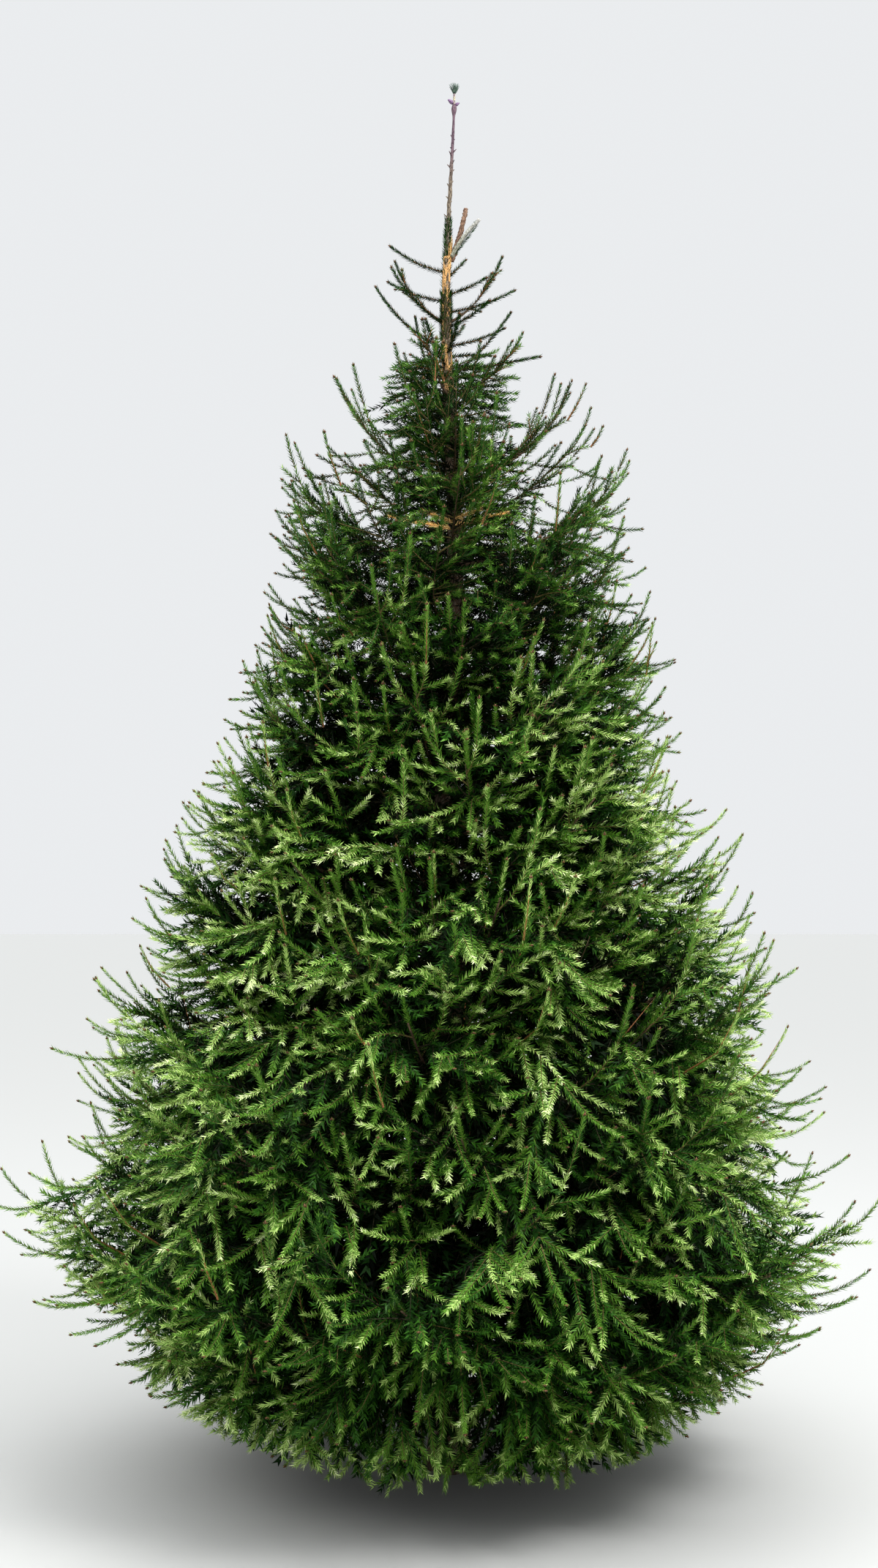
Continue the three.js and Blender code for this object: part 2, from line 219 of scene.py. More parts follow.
def where(tree):
    return node(tree, "ShaderNodeTexCoord", {}, {}, 3)


def drawn_out(tree, place, along):
    """A place for a pattern that is stretched along the stem where along is below 1."""
    return node(tree, "ShaderNodeMapping", {}, {"Vector": place, "Scale": (1, 1, along)})


def noise_of(tree, place, fineness):
    return node(tree, "ShaderNodeTexNoise", {}, {"Vector": place, "Scale": fineness, "Detail": 4})


def paint(tree, shader, tone):
    tree.links.new(tone.socket, shader.inputs["Base Color"])


def emboss(tree, shader, height, strength, depth):
    bump = node(tree, "ShaderNodeBump", {}, {"Strength": strength, "Distance": depth, "Height": height})
    tree.links.new(bump.socket, shader.inputs["Normal"])


def bark_material(name, dark, light, warm, fineness, depth, torn=None):
    """Scaly bark: plates in two greys with warm cracks between. Above the height torn much is torn off."""
    made, tree, shader = material(name, 0.9, 0.2)
    place = where(tree)
    scales = {"Vector": drawn_out(tree, place, 0.6), "Scale": fineness}
    plates = node(tree, "ShaderNodeTexVoronoi", {"feature": "DISTANCE_TO_EDGE"}, scales)
    crack = 1 - plates.ramp(0.02, 0.16)
    patches = noise_of(tree, place, fineness / 6).ramp(0.4, 0.62)
    grain = noise_of(tree, place, fineness * 4)
    tone = crack.tint(patches.tint(dark, light), warm)
    fleck = grain.ramp(0.55, 0.75) * 0.5
    tone = fleck.tint(tone, light)
    if torn:
        height = place.part(2)
        wound = noise_of(tree, drawn_out(tree, place, 0.35), 90)
        wound = (wound + 0.12 * height.ramp(torn + 0.3, torn + 0.38)).ramp(0.5, 0.58)
        wound = wound * height.ramp(torn, torn + 0.12)
        tone = wound.tint(tone, TORN_WOOD)
    paint(tree, shader, tone)
    emboss(tree, shader, (1 - crack) * 0.7 + grain * 0.5, 0.7, depth)
    return made


# The trunk's bark is given dark tones, partly as painted shade under the crown.
trunk_bark = bark_material("trunk_bark", (68, 58, 46), (118, 106, 90), (72, 52, 36), 110, 0.002, TORN_FROM)


def bark_relief(x, y, z):
    """How far a bark scale stands out at a point of the stem's surface, from 0 to 1."""
    near = noise.voronoi(Vector((x, y, z * SCALE_STRETCH)) / SCALE_SIZE)[0]
    return min((near[1] - near[0]) * SCALE_STEEPNESS, 1.0)


def trunk_corner(angle, share):
    z = share * LEADER_FOOT
    axis = trunk_axis(z)
    radius = float(trunk_radius(z))
    radius += FLARE_DEPTH * math.exp(-z / FLARE_HEIGHT) * (1 + FLARE_RIDGE * math.cos(FLARE_ROOTS * angle))
    for whorl in WHORLS:
        past = (z - whorl.foot) / COLLAR_HEIGHT
        radius += COLLAR_SWELL * whorl.radius * math.exp(-past * past)
    out = Vector((math.sin(angle), -math.cos(angle)))
    point = Vector((out.x * radius, out.y * radius, z))
    # Fewer and flatter scales on the thin upper stem.
    relief = SCALE_RELIEF * min(radius / SCALED_RADIUS, 1) * bark_relief(*point)
    lump = LUMP_RELIEF * noise.noise(point * LUMP_FINENESS)
    radius += relief + lump
    return (axis[0] + out.x * radius, axis[1] + out.y * radius, z)


trunk = bmesh.new()
tube(trunk, round(LEADER_FOOT / BARK_RING), BARK_SIDES, trunk_corner)
finished("trunk_bark", trunk, trunk_bark, ["trunk"])

# Boughs
# Tapering limbs of the trunk's own wood, in whorls of two to five, with thinner ones between the whorls.
# They leave the trunk nearly level, or rise at the top, and turn up at the tip. Brown, ridged bark.

TREE_HEIGHT = 3.66
LEAN_OUT = 0.07  # the crown's foot is this much deeper on its -X side, and its top on its +X side
LEAN_TURN = 1.75
LIFT_POWER = 2.6
SIZE_LEAST = 0.9  # of the whorl's reach
SIZE_SPREAD = 0.12
BEND = 0.12
WANDER = 7
SPACE_ABOVE = 0.2
SPACE_GAP = 0.014
REACH_MOST = 1.08
OUTSIDE_FALL = 0.8
UNDERSIDE_GAP = 0.02
UNDERSIDE_FROM = 0.4
UNDERSIDE_RISE = 0.6
BETWEEN = 140  # thinner boughs between the whorls, the next always a golden angle round from the last
BETWEEN_NUMBER = 50  # they are numbered from here
BETWEEN_LOW = 0.27
BETWEEN_HIGH = 2.6
BETWEEN_CROWDING = 0.72  # how much closer they stand low down
BETWEEN_REACH = 0.87
BETWEEN_SPREAD = 0.16
BETWEEN_BEND = 0.2
BETWEEN_SPRAYS = 0.8
BETWEEN_RADIUS = 0.55
SPRAYS_LEAST = 3
BOUGH_END = 0.9  # share of a bough where its last year's shoot takes over
BOUGH_TIP = 0.16  # radius there as a share of that at the trunk
HEADING_STEP = 0.02
FOOT_SWELL = 0.35
FOOT_SWELL_LENGTH = 0.05
LIMB_RING = 0.04
LIMB_RINGS_LEAST = 8
RIDGES = ((260, 0.0007), (60, 0.0012))  # fineness and height
RIDGED_RADIUS = 0.006  # a limb as thick as this has ridges in full relief
GOLDEN_ANGLE = 2.39996
UP = np.array([0.0, 0.0, 1.0])
SEED = 3
WORD = np.uint64
ALL_BITS = 0xFFFFFFFF
HASH_START = 2166136261
HASH_STEP = 16777619
HASH_SHIFT = 13
HASH_MIXES = ((16, 0x85EBCA6B), (13, 0xC2B2AE35), (16, 1))


def dice(*keys):
    """The same number from 0 to 1 every time for the same whole numbers, or an array of them.

    The numbers say which thing it is for, and one of them tells the rolls of that thing apart.
    """
    mixed = WORD(HASH_START ^ SEED)
    for key in keys:
        mixed = ((mixed ^ (np.asarray(key, dtype=WORD) + WORD(1))) * WORD(HASH_STEP)) & WORD(ALL_BITS)
        mixed = mixed ^ (mixed >> WORD(HASH_SHIFT))
    for shift, factor in HASH_MIXES:
        mixed = ((mixed ^ (mixed >> WORD(shift))) * WORD(factor)) & WORD(ALL_BITS)
    return mixed / float(ALL_BITS + 1)


def roll(*keys):
    return float(dice(*keys))


def unit(v):
    return v / np.linalg.norm(v, axis=-1, keepdims=True)


def outward(angle):
    return np.array([math.cos(angle), math.sin(angle), 0])


def whorl_height(level, distance):
    """How high a whorl's boughs are at a distance from the trunk."""
    whorl = WHORLS[level]
    share = np.minimum(distance / whorl.reach, REACH_MOST)
    past = np.maximum(distance - whorl.reach * REACH_MOST, 0)
    rise = whorl.slope * share + whorl.lift * share**LIFT_POWER
    return whorl.foot + whorl.reach * rise - OUTSIDE_FALL * past


def ceiling(level, distance):
    if level + 1 == len(WHORLS):
        return TREE_HEIGHT
    below, above = whorl_height(level, distance), whorl_height(level + 1, distance)
    return below + SPACE_ABOVE * (above - below)


def underside(distance):
    return UNDERSIDE_GAP + UNDERSIDE_RISE * np.maximum(distance - UNDERSIDE_FROM, 0)


class Bough:
    """The line of one bough, from the trunk's axis to its furthest tip."""

    def __init__(self, level, number, whorl, middle, size, bend, wander):
        self.level = level
        self.number = number
        self.in_whorl = number < BETWEEN_NUMBER
        self.foot = whorl.foot
        self.boughs = whorl.boughs
        self.slope = whorl.slope
        self.lift = whorl.lift
        self.hang = whorl.hang
        self.sprays = whorl.sprays
        self.radius = whorl.radius
        self.middle = middle
        self.azimuth = middle + wander
        size = size * (1 - LEAN_OUT * (1 - self.foot / LEAN_TURN) * math.cos(self.azimuth))
        self.reach = whorl.reach * size
        self.bend = bend
        self.out = outward(self.azimuth)
        self.across = np.cross(UP, self.out)

    def at(self, t):
        t = np.asarray(t, float)[..., None]
        rise = self.reach * (self.slope * np.abs(t) + self.lift * np.abs(t) ** LIFT_POWER)
        level_way = self.out * self.reach * t + self.across * self.reach * self.bend * np.sin(np.pi * t)
        return trunk_axis(self.foot) + level_way + UP * rise

    def heading(self, t):
        return unit(self.at(np.asarray(t) + HEADING_STEP) - self.at(np.asarray(t) - HEADING_STEP))

    def holds(self, points):
        """True for points in the wedge and between the two sloping levels that this bough keeps to."""
        ahead = math.cos(self.middle) * points[..., 0] + math.sin(self.middle) * points[..., 1]
        aside = np.abs(math.cos(self.middle) * points[..., 1] - math.sin(self.middle) * points[..., 0])
        half = math.pi / max(self.boughs, 3)
        inside = ahead * math.sin(half) - aside * math.cos(half) > SPACE_GAP / 2
        distance = np.hypot(points[..., 0], points[..., 1])
        inside &= points[..., 2] > underside(distance)
        if self.level:
            inside &= points[..., 2] > ceiling(self.level - 1, distance) + SPACE_GAP / 2
        return inside & (points[..., 2] < ceiling(self.level, distance) - SPACE_GAP / 2)


boughs = []
for level, whorl in enumerate(WHORLS):
    for number in range(whorl.boughs):
        middle = math.radians(whorl.turn + 360 * number / whorl.boughs)
        wander = math.radians(WANDER) * (2 * roll(level, number, 1) - 1)
        size = SIZE_LEAST + SIZE_SPREAD * roll(level, number, 2)
        bend = (roll(level, number, 3) - 0.5) * BEND
        boughs.append(Bough(level, number, whorl, middle, size, bend, wander))
whorl_boughs = boughs[:]
columns = np.array(WHORLS).T
feet = columns[0]
for number in range(BETWEEN):
    share = 1 - (1 - (number + 0.5) / BETWEEN) ** BETWEEN_CROWDING
    foot = BETWEEN_LOW + (BETWEEN_HIGH - BETWEEN_LOW) * share
    whorl = Whorl(*[float(np.interp(foot, feet, column)) for column in columns])
    sprays = max(round(whorl.sprays * BETWEEN_SPRAYS), SPRAYS_LEAST)
    whorl = whorl._replace(sprays=sprays, radius=whorl.radius * BETWEEN_RADIUS)
    middle = number * GOLDEN_ANGLE % math.tau
    size = BETWEEN_REACH + BETWEEN_SPREAD * (roll(number, 0) - 0.5)
    bend = (roll(number, 1) - 0.5) * BETWEEN_BEND
    level = int(np.searchsorted(feet, foot))
    boughs.append(Bough(level, BETWEEN_NUMBER + number, whorl, middle, size, bend, 0))

bough_bark = bark_material("bough_bark", (62, 52, 40), (104, 90, 72), (78, 54, 36), 260, 0.0008)
limbs = bmesh.new()
for line in boughs:

    def bough_corner(angle, share, line=line):
        t = share * BOUGH_END
        centre = Vector(line.at(t))
        ahead = Vector(line.heading(t))
        side = ahead.cross(Vector(UP)).normalized()
        over = side.cross(ahead)
        swell = 1 + FOOT_SWELL * math.exp(-((t * line.reach / FOOT_SWELL_LENGTH) ** 2))
        radius = line.radius * (1 - (1 - BOUGH_TIP) * share) * swell
        point = centre + (side * math.sin(angle) - over * math.cos(angle)) * radius
        ridge = sum(noise.noise(point * fineness) * height for fineness, height in RIDGES)
        return point + (point - centre).normalized() * ridge * min(radius / RIDGED_RADIUS, 1)

    rings = max(LIMB_RINGS_LEAST, round(line.reach / LIMB_RING))
    tube(limbs, rings, 7 if line.in_whorl else 5, bough_corner)
nodes = sorted(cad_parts)
finished("boughs", limbs, bough_bark, [n for n in nodes if "bough" in n])

# Side branches and shoots
# Each bough carries two ranks of side branches, and each branch two ranks of shoots, all by the same rule:
# level or hanging low down the tree, rising near its top. A branch ends in a long shoot that turns up.

SPRAY_FIRST = 0.24  # places along a bough, as shares of its reach
SPRAY_LAST = 0.85
SPRAY_SHARE = 0.46  # length of a side branch as a share of the bough's reach
INNER_ANGLE = 70
OUTER_ANGLE = 34
SWEEP = 24
SCATTER = 0.7
# A branch of the CAD model that would leave its bough's space is shortened, step by step.
SHRINK = 0.86
SHRINK_LEAST = 0.25
KEPT_IN = (0.35, 0.6, 0.8, 1.0)  # the places along it that have to lie in that space
BARE_BOUGH = 0.27
STEM_LENGTH = 0.15
STEM_GAP = 0.0003
TIP_SPRAY = 0.8
EXTRA_RANKS = 1  # finer side branches that stand between those of the CAD model
FINGER = 0.28  # length of a bough's last shoot
FINGER_ORDER = 4  # the long shoots that end a bough or a branch and turn up, against 2 for the others
SMALLEST = 3  # the order of the shoots that grow on shoots
FORKED = 0.22  # the length from which a branch ends in three shoots and not one
ERECT_SHARE = 0.055  # of the last shoots
BROWN = -50  # the tone of a shoot with few needles
STRAW = 50  # the tone of a dead one
# Whorls are counted from 0 at the ground. Towards the top they have fewer kinds of shoots.
UPPER = 8
FORKLESS = 9
SPARSE = 10
BARE = 11
TOPMOST = 12  # also the single twigs under the leader


class Twigs:
    """Many twigs at once. Each starts at root, heads along start, and ends up heading along end."""

    FIELDS = ("root", "start", "end", "length", "key", "level", "order", "hang", "tone")

    def __init__(self, *values):
        for name, value in zip(self.FIELDS, values):
            kind = np.int64 if name in ("key", "level", "order") else float
            shape = (-1, 3) if name in ("root", "start", "end") else -1
            setattr(self, name, np.asarray(value, kind).reshape(shape))
        self.start, self.end = unit(self.start), unit(self.end)

    def at(self, u, rows=slice(None)):
        u = np.broadcast_to(np.asarray(u, float), self.length[rows].shape)[..., None]
        way = self.start[rows] * (u - u * u / 2) + self.end[rows] * (u * u / 2)
        return self.root[rows] + self.length[rows][..., None] * way

    def heading(self, u, rows=slice(None)):
        u = np.broadcast_to(np.asarray(u, float), self.length[rows].shape)[..., None]
        return unit(self.start[rows] * (1 - u) + self.end[rows] * u)

    def pick(self, rows):
        return Twigs(*[getattr(self, name)[rows] for name in self.FIELDS])

    @classmethod
    def of(cls, rows):
        return cls(*[np.array(part) for part in zip(*rows)])

    @classmethod
    def join(cls, *lots):
        return cls(*[np.concatenate([getattr(lot, name) for lot in lots]) for name in cls.FIELDS])


def on_stem(line, t):
    """A point of the bough's line as the CAD mass follows it, in straight lengths."""
    start = BARE_BOUGH + STEM_GAP / line.reach if line.level == 0 else 0
    lengths = max(3, math.floor(line.reach / STEM_LENGTH + 0.5))
    places = start + (TIP_SPRAY + 0.03 - start) * np.arange(lengths + 1) / lengths
    i = int(np.clip(np.searchsorted(places, t), 1, lengths))
    share = (t - places[i - 1]) / (places[i] - places[i - 1])
    return line.at(places[i - 1]) * (1 - share) + line.at(places[i]) * share


# Painted light: low down on the tree, boughs on its two flanks (+X and -X) are painted lighter and those
# at its front and back darker.
FLANK_LIGHT_BELOW = 1.25
FLANK_LIGHT_FADE = 0.6
FLANK_LIGHT = 0.7
FLANK_MIDDLE = 0.75
TONE_SCATTER = 0.8  # a shoot's tone and a bough's differ by up to half of this from those round them


def bough_tone_and_light(line):
    """A bough's tone, which differs at random, with painted light: lightest low down on the tree's two
    flanks.
    """
    low = min(max((FLANK_LIGHT_BELOW - line.foot) / FLANK_LIGHT_FADE, -0.3), 1)
    chance = roll(line.level, line.number, 20) - 0.5
    return 0.1 + FLANK_LIGHT * low * (abs(math.cos(line.azimuth)) - FLANK_MIDDLE) + TONE_SCATTER * chance


BRANCH_SCATTER = 12  # degrees
FINER = 0.15  # how much shorter, and less hanging, the branches of each further rank are
START_HANG = 0.3
END_HANG = 2


def side_branches(index, line, rank):
    """The side branches of one bough: rank 0 is the CAD model's, and the others stand between them."""
    first = BARE_BOUGH + SPRAY_FIRST / 4 if line.level == 0 and line.in_whorl else SPRAY_FIRST
    span = SPRAY_LAST - first
    tone = bough_tone_and_light(line)
    rows = []
    for i in range(line.sprays):
        key = i + 100 * rank
        rolls = [roll(line.level, line.number, what, key) for what in (10, 11, 12, 13)]
        t = first + span * (i + 0.3 + 0.4 * rolls[0] + rank / (EXTRA_RANKS + 1)) / line.sprays
        ahead = line.heading(t)
        side = unit(np.cross(ahead, UP)) * (1 if (i + rank) % 2 else -1)
        angle = INNER_ANGLE + (OUTER_ANGLE - INNER_ANGLE) * t + BRANCH_SCATTER * (rolls[1] - 0.5)
        # Branches hang less and less towards the bough's tip.
        hang = line.hang * (1.05 - 1.3 * t * t) + SCATTER * (1 + rank) * (rolls[2] - 0.5) - FINER * rank
        # The longest stand a little short of the bough's middle.
        full = line.reach * SPRAY_SHARE * math.sin(math.pi * (0.18 + 0.72 * t)) * (0.85 + 0.3 * rolls[3])
        full *= 1 - FINER * rank
        share = 1.0
        while share > SHRINK_LEAST:
            length = full * (0.35 + 0.65 * share)

            def toward(turn, fall):
                return unit(ahead * math.cos(turn) + side * math.sin(turn) - UP * fall)

            start = toward(math.radians(angle), START_HANG * hang * share)
            end = toward(math.radians(angle) - math.radians(SWEEP), END_HANG * hang * share)
            root = on_stem(line, t) if line.in_whorl else line.at(t)
            row = (root, start, end, length, 1000 * index + key, line.level, 1, line.hang, tone)
            points = Twigs.of([row]).at(np.array(KEPT_IN), [0] * len(KEPT_IN))
            if not line.in_whorl or rank or line.holds(points).all():
                rows.append(row)
                break
            share *= SHRINK
    return rows


def level_side(ahead):
    """A level direction square to each one ahead."""
    return unit(np.cross(ahead, UP) + 1e-6)


def dealt_out(count):
    """For things of which each parent carries a count: the parent's row, and the number there."""
    row = np.repeat(np.arange(len(count)), count)
    return row, np.arange(len(row)) - np.repeat(np.cumsum(count) - count, count)


SHOOT_KEYS = 31  # a shoot's key is this many times its parent's, and its own number on
KIND_KEYS = 7
SHOOT_ANGLE = 56  # between a shoot and its parent, at the parent's foot
SHOOT_CLOSES = 14  # how much less that is at its tip
SHOOT_SCATTER = 14
SHOOT_SHARE = 0.55  # of its parent's length
FRONT_FLAT = 0.65  # how much less the shoots at the front of the tree turn up


def shoots(parents, spacing, first, last, shortest, longest, purpose):
    """Two ranks of shoots on each parent, from first to last along it, hanging like a comb's teeth."""
    count = np.maximum((parents.length * (last - first) / spacing + 0.5).astype(int), 0)
    row, number = dealt_out(count)
    key = parents.key[row] * SHOOT_KEYS + number + KIND_KEYS * purpose
    u = first + (last - first) * (number + 0.25 + 0.5 * dice(key, purpose, 1)) / count[row]
    ahead = parents.heading(u, row)
    side = level_side(ahead) * np.where(number % 2, 1, -1)[:, None]
    over = np.cross(side, ahead)
    over *= np.where(over[:, 2:] < 0, -1, 1)
    hang = parents.hang[row]
    angle = SHOOT_ANGLE - SHOOT_CLOSES * u + SHOOT_SCATTER * (dice(key, purpose, 2) - 0.5)
    angle = np.radians(angle)[:, None]
    comb = 0.7 * (dice(parents.key[row], purpose, 6) - 0.5) + 0.4 * (dice(key, purpose, 3) - 0.5)
    tilt = (0.3 + 0.75 * hang + comb)[:, None]
    start = ahead * np.cos(angle) + (side * np.cos(tilt) - over * np.sin(tilt)) * np.sin(angle)
    end = start + UP * (0.6 - 0.5 * hang)[:, None] + 0.3 * ahead
    # Longest a little short of the parent's middle.
    swell = np.sin(np.pi * (0.25 + 0.6 * u))
    length = np.clip(parents.length[row] * SHOOT_SHARE * swell, shortest, longest)
    length = length * (0.75 + 0.5 * dice(key, purpose, 4))
    order = parents.order[row] + 1
    tone = parents.tone[row] + TONE_SCATTER * (dice(key, purpose, 5) - 0.5)
    return Twigs(parents.at(u, row), start, end, length, key, parents.level[row], order, hang, tone)


LAST_KEYS = 37
FORK_ANGLE = 40
FORK_PLACE = 0.94
FORK_SHARE = 0.75  # length of the two beside the middle one, as a share of its length
ERECT_LENGTH = 0.14


def last_shoots(parents, shortest, longest, purpose):
    """The shoot that carries each parent on, turning up. Beside long ones two more spread, and hang."""
    long_ones = parents.pick((parents.length > FORKED) & (parents.level < FORKLESS))
    lots = []
    for number, turn in enumerate((0, FORK_ANGLE, -FORK_ANGLE)):
        forked = long_ones if number else parents
        key = forked.key * LAST_KEYS + number
        u = FORK_PLACE if number else 1
        ahead = forked.heading(u)
        side = level_side(ahead)
        angle = np.radians(turn * (0.8 + 0.5 * dice(key, purpose, 1)))[:, None]
        sag = (0.5 * forked.hang * dice(key, purpose, 2))[:, None]
        flat = FRONT_FLAT * np.clip(-ahead[:, 1], 0, 1)
        rise = 0.75 - 0.6 * forked.hang if number else (0.25 + 0.6 * forked.hang) * (1 - flat)
        start = ahead * np.cos(angle) + side * np.sin(angle) - UP * sag * (number > 0)
        end = 0.8 * unit(start) + UP * rise[:, None]
        length = np.clip(forked.length * SHOOT_SHARE, shortest, longest)
        length = length * (0.8 + 0.4 * dice(key, purpose, 3)) * (FORK_SHARE if number else 1)
        order = np.full(len(key), 2 if number else FINGER_ORDER)
        tone = forked.tone + 0.6 * (dice(key, purpose, 4) - 0.5)
        # Here and there it stands up straight, its brown bark showing between few needles.
        erect = (dice(key, purpose, 5) < ERECT_SHARE) & (number == 0)
        start[erect] = ahead[erect] + UP * 0.9
        end[erect] = ahead[erect] * 0.4 + UP
        tone[erect] = BROWN
        length[erect] = np.maximum(1.2 * length[erect], ERECT_LENGTH)
        lots.append(Twigs(forked.at(u), start, end, length, key, forked.level, order, forked.hang, tone))
    return Twigs.join(*lots)


bough_tips = np.array([line.at(1.0) for line in whorl_boughs])
upward = np.argsort(bough_tips[:, 2])
tip_heights = bough_tips[upward, 2]
tip_reaches = np.hypot(bough_tips[upward, 0], bough_tips[upward, 1])


def crown_edge(height):
    """How far the crown reaches from the trunk at a height."""
    return np.interp(height, tip_heights, tip_reaches)


BOX_MARGIN = 0.05  # how far a twig may end outside the CAD model's box
EDGE_HEIGHTS = (1.0, 1.35)
EDGE_SHARES = (1.05, 0.98)  # how far twigs may reach at these heights, as shares of the crown's reach
FINGER_PAST = 1.08
FINGER_OUT = 0.035  # how far the last shoots may stand out of the crown
FINGER_LOBE = 0.3
LOBE = 0.18  # how far the crown falls back between the whorls' tips, as a share of its reach
LOBE_NEAR = 0.14
LOBE_FAR = 0.36
SLACK_HEIGHTS = (1.6, 1.85, 2.25, 2.5)
SLACK = (0, 0.12, 0.12, 0)
box_low = np.array(cad_box[0]) - BOX_MARGIN
box_high = np.array(cad_box[1]) + BOX_MARGIN


def outside(lot):
    """True for each twig that ends outside the crown."""
    end = lot.at(1.0)
    height = end[:, 2]
    distance = np.hypot(end[:, 0], end[:, 1])
    beyond = ((end < box_low) | (end > box_high)).any(1)
    reach = crown_edge(height) * np.interp(height, EDGE_HEIGHTS, EDGE_SHARES)
    # A little less deep on the -X side just above half the tree's height.
    left = np.clip(-end[:, 0] / np.maximum(distance, 0.01), 0, 1)
    reach *= 1 - np.interp(height, SLACK_HEIGHTS, SLACK) * left
    # The crown stands out in a lobe round the tip of each bough of the whorls, but not near the ground.
    on_edge = np.column_stack([end[:, :2] * (reach / np.maximum(distance, 0.01))[:, None], height])
    gap = np.linalg.norm(on_edge[:, None] - bough_tips[None], axis=2).min(1)
    between = np.clip((gap - LOBE_NEAR) / (LOBE_FAR - LOBE_NEAR), 0, 1) * np.clip(2 * height - 0.3, 0, 1)
    finger_reach = (FINGER_PAST - FINGER_LOBE * LOBE * between) * reach + FINGER_OUT
    reach = np.where(lot.order == FINGER_ORDER, finger_reach, (1 - LOBE * between) * reach)
    return beyond | (height < underside(distance)) | (distance > reach) & (lot.level < TOPMOST)


TRIES = 3
SHORTENED = 0.75


def within_crown(lot):
    """The lot with each twig that would leave the crown shortened, or left out if that is not enough."""
    for _ in range(TRIES):
        lot.length[outside(lot)] *= SHORTENED
    return lot.pick(~outside(lot))


rows = []
for index, line in enumerate(boughs):
    for rank in range(EXTRA_RANKS + 1):
        rows += side_branches(index, line, rank)
branches = within_crown(Twigs.of(rows))

# The bough's own line beyond its bare wood, length by length, and the shoots round its last one.
# Each kind of twig has its keys from a number of its own on, so that no two kinds share their rolls.
STEPS = 6
STEM_KEYS = 900000
FINGER_KEYS = 950000
ERECT_KEYS = 955000
TRUNK_KEYS = 970000
TOP_KEYS = 990000
DEAD_KEYS = 996000
ERECT_FINGERS = 0.45  # the share of boughs that have an upright brown shoot
FINGER_ANGLE = 38
FINGER_SCATTER = 22
FINGER_GAP = 0.03  # between the feet of those of one bough, as a share of its reach
rows = []
fingers = []
for index, line in enumerate(boughs):
    tone = bough_tone_and_light(line)
    finger = min(FINGER, 0.5 * line.reach)
    tip = 1 - finger / line.reach / 1.3
    places = np.append(np.linspace(SPRAY_FIRST, tip, STEPS), 1.0)
    for step in range(STEPS):
        a, b = places[step], places[step + 1]
        gap = np.linalg.norm(line.at(b) - line.at(a))
        last = step == STEPS - 1
        end = line.heading(b) + UP * 0.2 * last
        key = STEM_KEYS + 10 * index + step
        row = (line.at(a), line.heading(a), end, gap, key, line.level, 0, line.hang, tone)
        (fingers if last else rows).append(row)
    ahead = line.heading(tip)
    side = unit(np.cross(ahead, UP))
    for number in range(3 if line.level < SPARSE else 2 if line.level < TOPMOST else 0):
        rolls = [roll(line.level, line.number, what, 70 + number) for what in range(3)]
        hand = 1 if number % 2 else -1
        angle = math.radians(FINGER_ANGLE + FINGER_SCATTER * rolls[0])
        start = ahead * math.cos(angle) + (side * hand + UP * (rolls[1] - 0.35)) * math.sin(angle)
        flat = FRONT_FLAT * max(-ahead[1], 0)
        end = unit(start) + ahead * 0.5 + UP * (0.6 - 0.35 * line.hang) * (1 - flat)
        length = finger * (0.6 + 0.4 * rolls[2])
        root = line.at(tip - FINGER_GAP * number)
        key = FINGER_KEYS + 10 * index + number
        fingers.append((root, start, end, length, key, line.level, 2, line.hang, tone))
    if line.level < FORKLESS and roll(line.level, line.number, 75) < ERECT_FINGERS:
        length = 0.13 + 0.1 * roll(line.level, line.number, 76)
        start = ahead * 0.6 + UP
        end = ahead * 0.1 + UP
        root = line.at(tip - FINGER_GAP)
        fingers.append((root, start, end, length, ERECT_KEYS + index, line.level, 2, 0, BROWN))
stems = Twigs.of(rows)
fingers = Twigs.of(fingers)
fingers.order[:] = FINGER_ORDER
fingers = within_crown(fingers)

# Short shoots stand on the trunk itself where the crown is narrow.
TRUNK_SHOOTS = 230
TRUNK_SHOOTS_FROM = 1.6
TRUNK_SHOOTS_OVER = 1.27  # the height over which they stand
TRUNK_SHOOT_LENGTH = 0.34
TRUNK_SHOOT_SHRINKS = 0.13  # for each metre further up
rows = []
for number in range(TRUNK_SHOOTS):
    height = TRUNK_SHOOTS_FROM + TRUNK_SHOOTS_OVER * ((number + 0.5) / TRUNK_SHOOTS) ** 0.7
    out = outward(number * GOLDEN_ANGLE + 1)
    rolls = [roll(number, what, 90) for what in range(3)]
    longest = TRUNK_SHOOT_LENGTH - TRUNK_SHOOT_SHRINKS * (height - TRUNK_SHOOTS_FROM)
    length = longest * (0.6 + 0.5 * rolls[0])
    start = out + (rolls[1] - 0.4) * UP
    across = np.cross(UP, out) * (1.6 if number % 2 else -1.6)
    end = 0.5 * out + across * rolls[1] + (0.7 * rolls[2] - 0.25) * UP
    rows.append((trunk_axis(height), start, end, length, TRUNK_KEYS + number, UPPER, 1, 0.6, -0.5))
on_trunk = within_crown(Twigs.of(rows))

# The youngest whorls are single twigs with hardly a side shoot. For each kind of shoots: how far apart
# they stand, their first and last place on the parent, the shortest and longest, and their rolls' number.
older = branches.pick(branches.level < BARE)
second = within_crown(shoots(older.pick(older.level < SPARSE), 0.038, 0.1, 0.9, 0.08, 0.18, 1))
on_stems = within_crown(shoots(stems.pick(stems.level < BARE), 0.06, 0.0, 1.0, 0.07, 0.16, 2))
long_fingers = fingers.pick((fingers.length > 0.13) & (fingers.level < SPARSE))
on_fingers = within_crown(shoots(long_fingers, 0.06, 0.05, 0.3, 0.05, 0.09, 3))
beside_trunk = within_crown(shoots(on_trunk, 0.035, 0.15, 0.9, 0.07, 0.13, 6))
ends = within_crown(last_shoots(older, 0.1, 0.25, 4))
long_shoots = second.pick((second.length > 0.12) & (second.level < UPPER))
third = within_crown(shoots(long_shoots, 0.045, 0.2, 0.6, 0.04, 0.07, 5))

